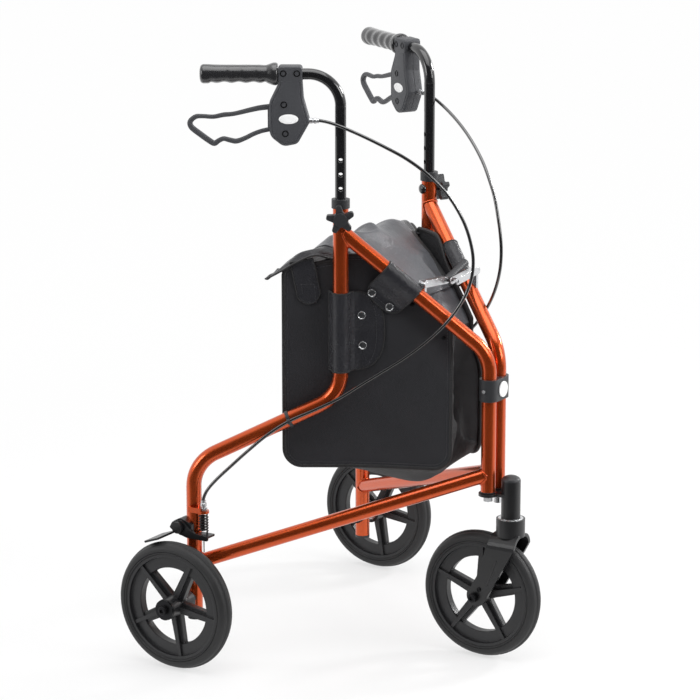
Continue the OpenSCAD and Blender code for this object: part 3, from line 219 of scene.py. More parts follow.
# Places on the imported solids, in millimetres: s runs back along a side frame from its front tube
HINGE_X, HINGE_Y = (abs(v) * 1000 for v in JOINTS["right_fold"]["pos_m"][:2])
LEVER_AXIS = JOINTS["right_lever"]["axis"]
SPLAY = math.atan2(-LEVER_AXIS[0], LEVER_AXIS[1])
UPRIGHT_S, LEG_S, TUBE_R, FRONT_R, LOWER_R = 212.0, 424.0, 11.1, 10.8, 10.5
SLOPE_FOOT_Z, SLOPE_RISE = 457.0, 180.0 / 212.0
LOWER_FRONT_Z, LOWER_FALL = 280.0, 135.0 / 424.0
SLOPE_TILT = math.atan(SLOPE_RISE)
GRIP_Z, GRIP_FRONT_S, GRIP_LEN, GRIP_R = 860.0, 299.5, 109.0, 13.5
GRIP_GROOVES, GRIP_PITCH, GRIP_ROUND = 14.0, 20.25, 5.5
PIVOT_S, PIVOT_Z = 288.0, 797.0
AXLE_Z = 95.0


def spot(s, out, z, way):
    """A point of a side frame: s back along it, out from its plane, z up; way is -1 on the right."""
    x = HINGE_X - s * cos(SPLAY) + out * sin(SPLAY)
    y = way * (HINGE_Y + s * sin(SPLAY) + out * cos(SPLAY))
    return Vector((x, y, z)) * 0.001


def slope_z(s):
    """Height of the axis of the sloping part of the front tube."""
    return SLOPE_FOOT_Z + s * SLOPE_RISE


def lower_z(s):
    """Height of the axis of the lower tube."""
    return LOWER_FRONT_Z - s * LOWER_FALL


def outwards(way):
    return Vector((sin(SPLAY), way * cos(SPLAY), 0))


def rearwards(way):
    return Vector((-cos(SPLAY), way * sin(SPLAY), 0))


def tone(red, green, blue):
    """A colour given as it looks on screen, 0 to 255, as the shader takes it."""
    steps = (c / 255 for c in (red, green, blue))
    return tuple(c / 12.92 if c <= 0.04045 else ((c + 0.055) / 1.055) ** 2.4 for c in steps)


def colour(name, description, *screen):
    return FloatVectorProperty(
        name=name, description=description, subtype="COLOR", size=3, min=0, max=1, default=tone(*screen)
    )


def length(name, description, millimetres):
    return FloatProperty(
        name=name, description=description, subtype="DISTANCE", unit="LENGTH", default=millimetres / 1000
    )


def position(name, description, *metres):
    return FloatVectorProperty(
        name=name, description=description, subtype="TRANSLATION", unit="LENGTH", default=metres
    )


def brightness(name, description, default):
    return FloatProperty(name=name, description=description, subtype="FACTOR", default=default, min=0)


class FinishColours(PropertyGroup):
    """Colours of the rollator's finishes."""

    orange: colour("Orange paint", "Metallic paint of the frame tubes", 218, 92, 34)
    orange_deep: colour("Orange paint, deep", "Tone of the paint between its flakes", 176, 60, 20)
    black_paint: colour("Black paint", "Gloss paint of the handlebars, fork and brake arms", 20, 20, 22)
    plastic: colour("Black plastic", "Moulded housings, knobs, clip and levers", 42, 43, 46)
    housing: colour("Housing plastic", "Moulded brake housings and levers", 64, 65, 69)
    wheel_plastic: colour("Wheel plastic", "Moulded rims", 32, 32, 34)
    rubber: colour("Tyre rubber", "Solid tyres", 38, 38, 39)
    grip: colour("Grip rubber", "Soft hand grips", 34, 34, 36)
    nylon: colour("Nylon", "Woven side panels and walls of the bag", 34, 34, 38)
    vinyl: colour("Vinyl", "Lid of the bag", 84, 85, 89)
    # The lid's corners take this colour too, as painted shade of the lid's lighter vinyl.
    vinyl_dark: colour("Dark vinyl", "Sleeves and strap of the bag", 38, 38, 42)
    webbing: colour("Webbing", "Tape sewn round the edges of the bag", 22, 22, 24)
    thread: colour("Thread", "Stitching of the bag", 52, 52, 56)
    steel: colour("Bright steel", "Brace links, adjusters and wires", 214, 215, 217)
    dark_steel: colour("Dark steel", "Blackened bolts, pins and springs", 40, 40, 42)
    blank: colour("Blank badge", "Bare badges on the housings and clip", 240, 240, 240)


class BagSizes(PropertyGroup):
    """Sizes of the bag."""

    front: length("Front edge", "Distance of the panels' front edge behind the front tubes", 53)
    rear: length("Rear edge", "Distance of the panels' rear edge behind the front tubes", 295)
    low: length("Lower edge", "Height of the panels' lower edge", 287)
    top: length("Upper edge", "Height of the panels' upper rear corner", 581)
    corner: length("Corner", "Radius of the panels' lower corners", 27)
    panel_thickness: length("Panel thickness", "Thickness of the padded panels", 3.4)
    bow: length("Bow", "How far the panels' front edges bow outwards", 16)
    sag: length("Sag", "How far the bottom hangs below the panels", 44)
    tape: length("Edge tape", "Width of the tape on the panels' edges", 6)
    snap: length("Snap", "Diameter of the snaps on the sleeves", 12.6)
    strap: length("Strap", "Width of the strap at the rear of the panels", 33)


class HandleSizes(PropertyGroup):
    """Sizes of the grips, levers and cables."""

    grip_wave: length("Finger grooves", "Depth of the finger grooves under the grips", 1.7)
    grip_flange: length("Grip flange", "Height of the collar at the front of the grips", 3.2)
    lever_width: length("Lever thickness", "Thickness of the lever loops, sideways", 8)
    housing_width: length("Housing width", "Width of the brake housings, sideways", 25)
    cable: length("Cable", "Diameter of the brake cables", 4.8)


class StageSettings(PropertyGroup):
    """The studio and its camera."""

    eye: position("Camera", "Place of the camera", 2.2748, -3.756, 1.520)
    target: position("Target", "Point in the middle of the picture", -0.0506, -0.0012, 0.43045)
    lens: FloatProperty(
        name="Lens", description="Focal length on a 36 mm sensor", unit="CAMERA", default=159.15
    )
    floor: colour("Floor", "Pale floor", 240, 240, 240)
    daylight: brightness("Room light", "Strength of the even light of the room", 0.58)
    dark_side: brightness("Dark side", "Strength of the room's darker side in reflections", 0.05)
    lamps: brightness("Lamps", "Strength of the soft lamps", 1.0)


# Materials


class Value:
    """A node's socket that takes part in Python sums: each sum adds its Math node."""

    def __init__(self, nodes, socket):
        self.nodes, self.socket = nodes, socket

    def _sum(self, operation, first, second=0.0):
        return self.nodes.node("ShaderNodeMath", {"operation": operation}, {0: first, 1: second})

    def __add__(self, other):
        return self._sum("ADD", self, other)

    __radd__ = __add__

    def __sub__(self, other):
        return self._sum("SUBTRACT", self, other)

    def __rsub__(self, other):
        return self._sum("SUBTRACT", other, self)

    def __mul__(self, other):
        return self._sum("MULTIPLY", self, other)

    __rmul__ = __mul__

    def sine(self):
        return self._sum("SINE", self)


class Nodes:
    """A node tree written as Python."""

    def __init__(self, tree):
        self.tree = tree
        tree.nodes.clear()

    def node(self, kind, settings=None, sockets=None, out=0):
        """Adds a node: its settings first, then the values or links of its sockets."""
        node = self.tree.nodes.new(kind)
        for key, value in (settings or {}).items():
            setattr(node, key, value)
        for key, value in (sockets or {}).items():
            self.feed(node.inputs[key], value)
        return Value(self, node.outputs[out]) if node.outputs else node

    def feed(self, socket, value):
        if isinstance(value, Value):
            self.tree.links.new(value.socket, socket)
        else:
            socket.default_value = value

    def blend(self, value, low, high, at_low, at_high):
        """A smooth step from at_low to at_high while value goes from low to high."""
        sockets = {"Value": value, "From Min": low, "From Max": high, "To Min": at_low, "To Max": at_high}
        return self.node("ShaderNodeMapRange", {"interpolation_type": "SMOOTHSTEP"}, sockets)

    def dot(self, a, b):
        return self.node("ShaderNodeVectorMath", {"operation": "DOT_PRODUCT"}, {0: a, 1: b}, "Value")

    def ray(self, kind):
        return self.node("ShaderNodeLightPath", out=f"Is {kind} Ray")

    def seen(self):
        """1 where the camera sees this straight, through glass or in a gloss."""
        return self.ray("Camera") + self.ray("Glossy") + self.ray("Transmission")


FINISHES = {}


def solid(colour_value, factor=1.0):
    return (*(min(1.0, c * factor) for c in colour_value), 1.0)


class Finish(Nodes):
    """A material written as Python. Numbers that are the same all over go straight on the shader."""

    def __init__(self, key, name="", **constants):
        self.material = bpy.data.materials.new(name or key)
        self.material.use_nodes = True
        super().__init__(self.material.node_tree)
        self.surface = self.node("ShaderNodeBsdfPrincipled")
        self.end = self.node("ShaderNodeOutputMaterial", {}, {"Surface": self.surface})
        for socket, value in constants.items():
            self.set(socket.replace("_", " "), value)
        FINISHES[key] = self

    def set(self, socket, value):
        self.feed(self.surface.socket.node.inputs[socket], value)

    def place(self):
        return self.node("ShaderNodeTexCoord", out="Object")

    def flat(self):
        return self.node("ShaderNodeTexCoord", out="UV")

    def cloud(self, scale, detail, roughness=0.5):
        sockets = {"Vector": self.place(), "Scale": scale, "Detail": detail, "Roughness": roughness}
        return self.node("ShaderNodeTexNoise", {}, sockets, "Fac")

    def cells(self, scale):
        return self.node("ShaderNodeTexVoronoi", {}, {"Vector": self.place(), "Scale": scale}, "Distance")

    def mix(self, share, first, second):
        return self.node("ShaderNodeMix", {"data_type": "RGBA"}, {0: share, 6: first, 7: second}, 2)

    def shades(self, share, shade, low, high):
        """A base colour that goes from low times a shade to high times it."""
        self.set("Base Color", self.mix(share, solid(shade, low), solid(shade, high)))

    def ribs(self, vector, axis, pitch):
        part = self.node("ShaderNodeSeparateXYZ", {}, {"Vector": vector}, axis)
        return (part * (2 * pi / pitch)).sine()

    def relief(self, height, depth, strength, under=None):
        sockets = {"Height": height, "Distance": depth, "Strength": strength}
        if under:
            sockets["Normal"] = under
        self.set("Normal", self.node("ShaderNodeBump", {}, sockets))

    def soft_edges(self, radius):
        """A rounded normal over sharp edges, and a mask of those edges."""
        rounded = self.node("ShaderNodeBevel", {"samples": 4}, {"Radius": radius}, "Normal")
        plain = self.node("ShaderNodeNewGeometry", out="Normal")
        return rounded, 1 - self.dot(rounded, plain)


def make_finishes(tones):
    """All finishes of the rollator, by name."""
    paint = Finish("orange", "orange_metallic_paint", Coat_Weight=0.55, Coat_Roughness=0.07, IOR=1.5)
    drift = paint.cloud(9, 3)
    flakes = paint.cells(2600) * 0.5 + drift * 0.3
    paint.set("Base Color", paint.mix(flakes, solid(tones.orange), solid(tones.orange_deep)))
    paint.set("Metallic", 0.74 + 0.2 * drift)
    paint.set("Roughness", 0.19 + 0.1 * paint.cloud(60, 3))
    paint.relief(paint.cloud(420, 2), 0.00035, 0.2)

    for name, rough, coat in (("black_gloss", 0.08, 0.7), ("black_satin", 0.3, 0.12)):
        black = Finish(name, Coat_Roughness=0.08, Coat_Weight=coat)
        rounded, edge = black.soft_edges(0.0008)
        black.shades(edge * black.cloud(300, 3) * 3, tones.black_paint, 1, 5)
        black.set("Roughness", rough + 0.12 * black.cloud(45, 4))
        black.relief(black.cloud(500, 2), 0.0003, 0.25, rounded)

    for name, rough in (("plastic", 0.38), ("housing", 0.42), ("wheel_plastic", 0.33)):
        moulded, shade = Finish(name), getattr(tones, name)
        rounded, edge = moulded.soft_edges(0.0009)
        base = moulded.mix(moulded.cloud(35, 4), solid(shade, 0.85), solid(shade, 1.15))
        rubbed = edge * moulded.cloud(200, 3) * 2.4
        moulded.set("Base Color", moulded.mix(rubbed, base, solid(shade, 3)))
        moulded.set("Roughness", rough + 0.12 * moulded.cloud(90, 3))
        moulded.relief(moulded.cells(1500), 0.00025, 0.35, rounded)

    grip = Finish("grip", "grip_rubber", Coat_Weight=0.9, Coat_Roughness=0.16)
    grip.shades(grip.cloud(60, 4), tones.grip, 0.8, 1.25)
    grip.set("Roughness", 0.2 + 0.14 * grip.cloud(120, 3))
    grip.relief(grip.cells(900), 0.0003, 0.3)

    tyre = Finish("tyre", "tyre_rubber", Specular_IOR_Level=0.38)
    dust = tyre.cloud(30, 5)
    tyre.shades(dust, tones.rubber, 0.75, 1.35)
    tyre.set("Roughness", 0.44 + 0.2 * dust)
    tyre.relief(tyre.ribs(tyre.place(), "Y", 0.0034) * 0.5 + tyre.cloud(800, 3), 0.0003, 0.35)

    for name, rough in (("steel", 0.16), ("dark_steel", 0.3)):
        metal = Finish(name)
        rounded, edge = metal.soft_edges(0.0004)
        brushed = metal.cloud(240, 4)
        metal.shades(brushed, getattr(tones, name), 0.86, 1.08)
        metal.set("Metallic", 0.9 + 0.1 * edge)
        metal.set("Roughness", rough + 0.14 * brushed)
        metal.relief(metal.cloud(900, 2), 0.0001, 0.2, rounded)

    jacket = Finish(
        "jacket", "cable_jacket", Coat_Weight=1.0, Coat_Roughness=0.12, Coat_IOR=1.7, Specular_IOR_Level=0.8
    )
    jacket.shades(jacket.cloud(80, 3), tones.plastic, 0.15, 0.35)
    jacket.set("Roughness", 0.16 + 0.1 * jacket.cloud(150, 3))
    jacket.relief(jacket.cloud(1200, 2), 0.0002, 0.2)

    # The walls take the panels' nylon at 0.6 of its tone: painted shade, as they lie recessed between the panels.
    for name, level in (("nylon", 1.0), ("nylon_wall", 0.6)):
        nylon = Finish(name, "woven_" + name, Sheen_Weight=0.06, Sheen_Roughness=0.5, Specular_IOR_Level=0.3)
        flat = nylon.flat()
        weave = nylon.ribs(flat, "X", 0.0013) * nylon.ribs(flat, "Y", 0.0013)
        worn = nylon.cloud(14, 4) * 0.7 + weave * 0.15 + 0.1
        nylon.shades(worn, tones.nylon, 0.65 * level, 1.35 * level)
        nylon.set("Roughness", 0.62 + 0.12 * weave)
        nylon.relief(weave + 1.2 * nylon.cloud(60, 3), 0.0005, 0.45)

    # Dark vinyl of the sleeves and strap, which the lid's corners also take as painted shade.
    for name, rough in (("vinyl", 0.24), ("vinyl_dark", 0.17)):
        hide = Finish(name, Sheen_Weight=0.04, Specular_IOR_Level=0.42)
        grain = hide.cells(650)
        creases = hide.cloud(22, 5, 0.6)
        # The base colour follows the crease noise of the bump: uneven tone, and painted shade in the hollows with
        # painted highlight on the ridges.
        hide.shades(creases * 0.8 + grain * 0.3, getattr(tones, name), 0.74, 1.22)
        hide.set("Roughness", rough + 0.18 * creases)
        hide.relief(grain * 0.25 + creases * 3, 0.0024, 0.6)

    for name, pitch in (("webbing", 0.0022), ("thread", 0.0009)):
        tape = Finish(name, "ribbed_" + name, Sheen_Weight=0.1)
        ribs = tape.ribs(tape.flat(), "X", pitch)
        tape.shades(ribs * 0.35 + tape.cloud(90, 3) * 0.6, getattr(tones, name), 0.65, 1.7)
        tape.set("Roughness", 0.56 + 0.15 * ribs)
        tape.relief(ribs, 0.0005, 0.5)

    blank = Finish("blank", "blank_badge", Coat_Weight=0.4)
    blank.shades(blank.cloud(70, 3), tones.blank, 0.94, 1.02)
    blank.set("Roughness", 0.28 + 0.1 * blank.cloud(120, 2))
    blank.relief(blank.cloud(700, 2), 0.0001, 0.2)


# Shapes


class Shape:
    """Points and faces gathered for one piece, with a flat map of its cloth or tape."""

    def __init__(self):
        self.points, self.faces, self.flat = [], [], []

    def rows(self, rows, ring=False, caps=False, flat=None):
        """Joins rows of points, each as long as the others, into quads."""
        start, n = len(self.points), len(rows[0])
        for i, row in enumerate(rows):
            self.points.extend(row)
            self.flat.extend(flat[i] if flat else [(p.x, p.z) for p in row])
        for i in range(len(rows) - 1):
            for k in range(n if ring else n - 1):
                a, b = start + i * n + k, start + i * n + (k + 1) % n
                self.faces.append((a, b, b + n, a + n))
        if caps:
            last = start + (len(rows) - 1) * n
            self.faces.append(tuple(reversed(range(start, start + n))))
            self.faces.append(tuple(range(last, last + n)))
        return self

    def build(self, name, finish, body=None, slot="black_plastic", crease=40, cloth=0.0, smooth=0):
        """Makes the object: normals outwards, smooth shading with creases, cloth's thickness, its body."""
        mesh = bpy.data.meshes.new(name)
        mesh.from_pydata([tuple(p) for p in self.points], [], self.faces)
        layer = mesh.uv_layers.new(name="flat")
        for loop in mesh.loops:
            layer.data[loop.index].uv = self.flat[loop.vertex_index]
        work = bmesh.new()
        work.from_mesh(mesh)
        bmesh.ops.recalc_face_normals(work, faces=work.faces)
        work.to_mesh(mesh)
        work.free()
        mesh.polygons.foreach_set("use_smooth", [True] * len(mesh.polygons))
        mesh.set_sharp_from_angle(angle=radians(crease))
        mesh.materials.append(FINISHES[finish].material)
        piece = bpy.data.objects.new(name, mesh)
        bpy.context.scene.collection.objects.link(piece)
        if cloth:
            backing = piece.modifiers.new("thickness", "SOLIDIFY")
            backing.thickness, backing.offset = cloth, 0.0
        if smooth:
            rounder = piece.modifiers.new("smooth", "SUBSURF")
            rounder.levels = smooth
        if piece.modifiers:
            apply_modifiers(piece)
        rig.slot(piece, slot)
        if body:
            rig.ride(piece, body)
        return piece


def apply_modifiers(piece):
    """Turns a piece's modifiers into its mesh."""
    bpy.context.view_layer.update()
    shown = piece.evaluated_get(bpy.context.evaluated_depsgraph_get())
    mesh = bpy.data.meshes.new_from_object(shown)
    piece.modifiers.clear()
    piece.data = mesh


def circle(count):
    """Angles all round."""
    return [2 * pi * k / count for k in range(count)]


def along(points, steps):
    """A smooth line through points, with steps between each two."""
    last = len(points) - 1
    line = []
    for i in range(last):
        a, b, c, d = (points[min(max(i + k, 0), last)] for k in (-1, 0, 1, 2))
        square = 2 * a - 5 * b + 4 * c - d
        cube = 3 * b - a - 3 * c + d
        for k in range(steps):
            t = k / steps
            line.append(0.5 * (2 * b + (c - a) * t + square * t * t + cube * t ** 3))
    return line + [points[-1].copy()]


def along_numbers(values, steps):
    """Smooth steps through a row of numbers."""
    return [p.x for p in along([Vector((v, 0, 0)) for v in values], steps)]


def pick(value, i):
    """A number given for a whole line, or the one for point i."""
    return value[i] if isinstance(value, list) else value


def sweep(shape, line, half, sides, thick=None, up=None, closed=False, power=2.0):
    """A tube along a line: half wide across up and thick along it, or round. Numbers or one per point."""
    n = len(line)
    rows, flat, run = [], [], 0.0
    turn = None
    for i, point in enumerate(line):
        if closed:
            before, after = line[i - 1], line[(i + 1) % n]
        else:
            before, after = line[max(i - 1, 0)], line[min(i + 1, n - 1)]
        way = (after - before).normalized()
        if up is not None:
            turn = pick(up, i)
        elif turn is None:
            turn = way.orthogonal()
        turn = (turn - way * turn.dot(way)).normalized()
        across = way.cross(turn)
        wide = pick(half, i)
        tall = wide if thick is None else pick(thick, i)
        if i:
            run += (point - line[i - 1]).length
        ring = []
        for a in circle(sides):
            c = math.copysign(abs(cos(a)) ** (2 / power), cos(a))
            s = math.copysign(abs(sin(a)) ** (2 / power), sin(a))
            ring.append(point + across * (wide * c) + turn * (tall * s))
        rows.append(ring)
        flat.append([(run, 2 * pi * wide * k / sides) for k in range(sides)])
    if closed:
        rows.append(rows[0])
        flat.append(flat[0])
    shape.rows(rows, ring=True, caps=not closed, flat=flat)
    return shape


def rounded_outline(corners, steps):
    """A closed outline from (x, y, radius) corners."""
    line = []
    for i, (x, y, r) in enumerate(corners):
        corner = Vector((x, y))
        sides = [Vector(corners[k][:2]) - corner for k in (i - 1, (i + 1) % len(corners))]
        u, w = (side.normalized() for side in sides)
        half = (pi - math.acos(u.dot(w))) / 2
        centre = corner + (u + w).normalized() * r / cos(half)
        p, q = (corner + side * r * math.tan(half) - centre for side in (u, w))
        start = math.atan2(p.y, p.x)
        swing = 2 * half if p.cross(q) > 0 else -2 * half
        for k in range(steps + 1):
            a = start + swing * k / steps
            line.append(centre + r * Vector((cos(a), sin(a))))
    return line


def inset(outline, depth):
    """A closed outline moved inwards by depth."""
    n = len(outline)
    turn = 1 if sum(outline[i - 1].cross(outline[i]) for i in range(n)) > 0 else -1
    moved = []
    for i, point in enumerate(outline):
        edges = (point - outline[i - 1], outline[(i + 1) % n] - point)
        a, b = (Vector((-edge.y, edge.x)).normalized() for edge in edges)
        mean = (a + b).normalized()
        moved.append(point + mean * (turn * depth / max(0.5, mean.dot(a))))
    return moved


def slab(shape, outline, lift, stations):
    """Stacks copies of an outline: a station is (inset, height), and lift takes (x, y, height) to a point."""
    rows = [[lift(p.x, p.y, height) for p in inset(outline, depth)] for depth, height in stations]
    shape.rows(rows, ring=True, caps=True)


def turned(shape, centre, way, profile, sides=36):
    """A turned piece along way, from rings of (radius, height) in millimetres; a third number of corners
    makes a ring a polygon."""
    way = way.normalized()
    u = way.orthogonal().normalized()
    v = way.cross(u)
    rows = []
    for radius, height, *corners in profile:
        ring = []
        for a in circle(sides):
            r = max(radius, 0.01)
            if corners:
                part = 2 * pi / corners[0]
                r *= cos(part / 2) / cos(a % part - part / 2)
            ring.append(centre + (way * height + (u * cos(a) + v * sin(a)) * r) * 0.001)
        rows.append(ring)
    shape.rows(rows, ring=True, caps=True)
    return shape


def smoothstep(t):
    t = max(0.0, min(1.0, t))
    return t * t * (3 - 2 * t)


def spread(first, last, count):
    """Steps from first to last, closer together at both ends."""
    return [first + (last - first) * (0.5 - 0.5 * cos(pi * k / count)) for k in range(count + 1)]


def bell(value, middle, width):
    """A smooth bump of height 1 round middle."""
    return exp(-(((value - middle) / width) ** 2))


def sheet_area(rows):
    """Area of a sheet given as rows of points."""
    area = 0.0
    for low, high in zip(rows, rows[1:]):
        for k in range(len(low) - 1):
            area += (low[k + 1] - low[k]).cross(high[k] - low[k]).length / 2
            area += (high[k] - high[k + 1]).cross(low[k + 1] - high[k + 1]).length / 2
    return area


def line_length(line):
    return sum((b - a).length for a, b in zip(line, line[1:]))


def border(rows):
    """The closed line round a sheet given as rows of points."""
    line = list(rows[0]) + [row[-1] for row in rows[1:]]
    return line + list(reversed(rows[-1][:-1])) + [row[0] for row in reversed(rows[1:-1])]


STITCH_STEP, STITCH_R, STITCH_SHARE = 4.4, 0.45, 0.33


def sew(name, body, line, closed=True):
    """A row of stitches along a line."""
    points = line + [line[0]] if closed else line
    shape, gap, radius = Shape(), STITCH_STEP / 1000, STITCH_R / 1000
    run = mark = 0.0
    for a, b in zip(points, points[1:]):
        size = (b - a).length
        while mark < run + size:
            middle = a.lerp(b, (mark - run) / size)
            half = (b - a) * (STITCH_SHARE * gap / size)
            sweep(shape, [middle - half, middle, middle + half], [radius / 2, radius, radius / 2], 5)
            mark += gap
        run += size
    shape.build(name, "thread", body, "bag_cloth")


def webbing(name, body, line, half, sides, *form, **more):
    """Tape along a line; form and more are as for sweep."""
    tape = sweep(Shape(), line, half, sides, *form, **more)
    return tape.build(name, "webbing", body, "bag_cloth", crease=70)


def lathe(name, finish, body, slot, centre, way, profile, sides=36):
    """A turned piece of its own."""
    return turned(Shape(), centre, way, profile, sides).build(name, finish, body, slot)


# Pieces


# The level way to the photographer's side, which glosses show dark
DARK_WAY = (0.527, -0.85, 0.0)
WHITE = (1, 1, 1, 1)
SENSOR, SHIFT, FAR = 36.0, -1.2 / 700, 60
FLOOR_REACH, FLOOR_Z = 9.0, -0.0004
# Name, place, height of the point on the upright axis that is lit, size and power
LAMPS = (
    ("overhead", (0.3, -0.4, 2.9), 0.3, 2.4, 40),
    ("right_softbox", (3.3, 0.2, 1.9), 0.45, 1.5, 42),
    ("left_softbox", (-2.0, -2.9, 1.7), 0.45, 1.4, 26),
    ("rear_strip", (1.5, 2.6, 1.7), 0.45, 0.6, 50),
)


def put(name, data, where, target):
    """Adds a camera or lamp where it stands, facing target."""
    item = bpy.data.objects.new(name, data)
    item.location = where
    item.rotation_euler = (Vector(target) - Vector(where)).to_track_quat("-Z", "Y").to_euler()
    bpy.context.scene.collection.objects.link(item)
    return item


class ROLLATOR_OT_stage(Operator):
    """Camera, floor, room light and soft lamps"""

    bl_idname = "rollator.stage"
    bl_label = "Stage"

    def execute(self, context):
        settings, scene = context.scene.rollator_stage, context.scene
        data = bpy.data.cameras.new("camera")
        data.lens, data.sensor_width, data.shift_x, data.clip_end = settings.lens, SENSOR, SHIFT, FAR
        scene.camera = put("camera", data, settings.eye, settings.target)
        scene.view_settings.view_transform = "Standard"

        # In glosses the floor is dark on the side where the photographer stands, like the room
        floor = Finish("floor", "pale_floor", Roughness=0.7)
        where = floor.place()
        dark = floor.ray("Glossy") * floor.blend(floor.dot(where, DARK_WAY), 0.1, 0.8, 0.0, 1.0)
        pale = floor.mix(floor.cloud(2, 3), solid(settings.floor, 0.99), solid(settings.floor, 1.01))
        floor.set("Base Color", floor.mix(dark, pale, solid(settings.floor, 0.04)))
        # The floor's glow grows with the distance from the middle of the stage, from 0.64 within half a metre to 0.98
        # beyond two metres: painted light in place of the lamps' light on the far floor, while the near floor keeps the
        # object's shadow.
        away = floor.node("ShaderNodeVectorMath", {"operation": "LENGTH"}, {0: where}, "Value")
        share = floor.blend(away, 0.5, 2.0, 0.64, 0.98) * (floor.seen() - dark)
        glow = floor.node("ShaderNodeEmission", {}, {"Color": WHITE, "Strength": 1.0})
        mixed = floor.node("ShaderNodeMixShader", {}, {0: share, 1: floor.surface, 2: glow})
        floor.feed(floor.end.inputs["Surface"], mixed)
        ends = (-FLOOR_REACH, FLOOR_REACH)
        rows = [[Vector((x, y, FLOOR_Z)) for y in ends] for x in ends]
        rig.stage(Shape().rows(rows).build("floor", "floor"))

        # The room is white all round, with a darker side that only glosses show
        scene.world = bpy.data.worlds.new("studio")
        scene.world.use_nodes = True
        room = Nodes(scene.world.node_tree)
        towards = room.node("ShaderNodeTexCoord", out="Generated")
        gloss = room.blend(room.dot(towards, DARK_WAY), 0.05, 0.7, 1.0, settings.dark_side)
        straight = room.ray("Camera") + room.ray("Transmission")
        shiny = room.ray("Glossy")
        level = straight + shiny * gloss + (1 - straight - shiny) * settings.daylight
        light = room.node("ShaderNodeBackground", {}, {"Color": WHITE, "Strength": level})
        room.node("ShaderNodeOutputWorld", {}, {"Surface": light})

        for name, lamp_place, aim_z, size, power in LAMPS:
            lamp = bpy.data.lights.new(name, "AREA")
            lamp.shape, lamp.size, lamp.energy = "SQUARE", size, power * settings.lamps
            put(name, lamp, lamp_place, (0, 0, aim_z))
        return {"FINISHED"}


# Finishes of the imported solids, without the side in their names
NODE_FINISHES = {
    "orange": ("rear_tube", "front_tube", "lower_tube"),
    "black_gloss": ("handlebar",),
    "black_satin": ("brake_bracket", "brake_spring", "brake_arm", "caster_head", "caster_fork"),
    "plastic": ("tube_fittings", "star_knob", "post_cap", "hinge_clip", "brace_handle"),
    "wheel_plastic": ("wheel_rim", "front_rim"),
    "tyre": ("tyre", "front_tyre"),
    "steel": (
        "brace_bracket", "brace_link", "wheel_bearings", "head_bearings", "front_bearings", "hinge_bolts",
        "swivel_stem",
    ),
    "dark_steel": ("wheel_axle", "front_axle"),
}


class ROLLATOR_OT_metal_and_wheels(Operator):
    """Paint, plastic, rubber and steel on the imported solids"""

    bl_idname = "rollator.metal_and_wheels"
    bl_label = "Frame and wheels"

    def execute(self, context):
        make_finishes(context.scene.rollator_colours)
        finish_of = {node: finish for finish, nodes in NODE_FINISHES.items() for node in nodes}
        for name, piece in frame["nodes"].items():
            finish = finish_of.get(name.removeprefix("right_").removeprefix("left_"))
            if finish:
                piece.data.materials.clear()
                piece.data.materials.append(FINISHES[finish].material)
        return {"FINISHED"}


# s and radius of the upright tube, 1 where the other runs forwards from it, its height, fall and radius
WELDS = (
    (UPRIGHT_S, TUBE_R, 1, slope_z, SLOPE_RISE, FRONT_R),
    (LEG_S, TUBE_R, 1, lower_z, LOWER_FALL, LOWER_R),
    (0.0, FRONT_R, -1, lower_z, LOWER_FALL, LOWER_R),
)
BEAD_R, BEAD_RIPPLE, BEAD_BEAT = 0.0019, 0.0003, 2.4
# Rings of turned pieces, as turned takes them
DOME_BOLT = ((7.5, -1.6), (7.5, 0.6), (7.0, 2.0), (5.6, 3.4), (3.0, 4.4), (0.1, 4.7))
ADJUSTER = (
    (3.5, -1.4), (3.5, 4.0), (5.5, 4.1, 6), (5.5, 8.0, 6), (3.6, 8.2), (3.6, 9.6), (4.6, 10.0), (4.6, 14.6),
    (3.9, 15.4), (3.9, 19.0), (2.6, 19.0), (2.5, 17.0),
)
SOCKET_BOLT = (
    (6.4, -0.6), (6.4, 2.4), (6.1, 3.0), (5.4, 3.4), (3.7, 3.4), (3.4, 3.1, 6), (3.4, 0.9, 6), (0.1, 0.7),
)
FORK_SCREW = ((3.4, -0.5), (3.4, 1.2), (2.8, 1.9), (1.6, 2.1), (1.4, 1.2, 6), (0.1, 1.1))
WASHER = ((18.4, -0.8), (18.4, 0.3), (18.0, 0.6), (15.2, 0.6), (14.6, 0.3), (14.6, -0.8))
CLIP_DISC = ((11.4, -1.0), (11.4, 0.5), (11.0, 0.9), (6.0, 1.1), (0.1, 1.2))
# x ahead of the front axle, and z
FORK_SCREW_X, FORK_SCREW_Z = 8, AXLE_Z + 13
FORK_RIDGE = ((21, 116), (29, 137), (36, 156))
ADJUSTER_Z = 226
# s, out and z of a brake cable
CABLE_ROUTE = (
    (244, 6, 795), (240, 6, 795), (228, 9, 793), (212, 12, 788), (190, 15, 779), (168, 17, 769),
    (146, 18, 758), (124, 18, 746), (102, 18, 731), (82, 18, 714), (64, 17, 695), (49, 17, 673),
    (37, 16, 649), (29, 16, 624), (25, 16, 599), (27, 16, 573), (36, 16, 547), (51, 16, 522), (71, 16, 498),
    (96, 16, 475), (124, 16, 454), (152, 16, 436), (182, 16, 417), (213, 16, 397), (247, 15.5, 380),
    (286, 15.1, 362), (318, 15, 341), (346, 15, 317), (370, 16, 295), (390, 17, 276), (403, 18, 261),
    (409, 18.2, 248), (409.3, 18.2, 241),
)


def weld_line(post_s, post_r, ahead, height, fall, tube_r, way):
    """Where a sloping tube meets an upright one, from a row of WELDS."""
    line = []
    for a in circle(48):
        out = tube_r * sin(a)
        s = post_s - ahead * (sqrt(max(0.0, post_r ** 2 - out ** 2)) + 0.3)
        line.append(spot(s, out, height(s) + tube_r * cos(a) * sqrt(1 + fall ** 2), way))
    return line


def end_y(node, way):
    """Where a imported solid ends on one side."""
    low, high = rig.box(node)
    return (low if way < 0 else high)[1]


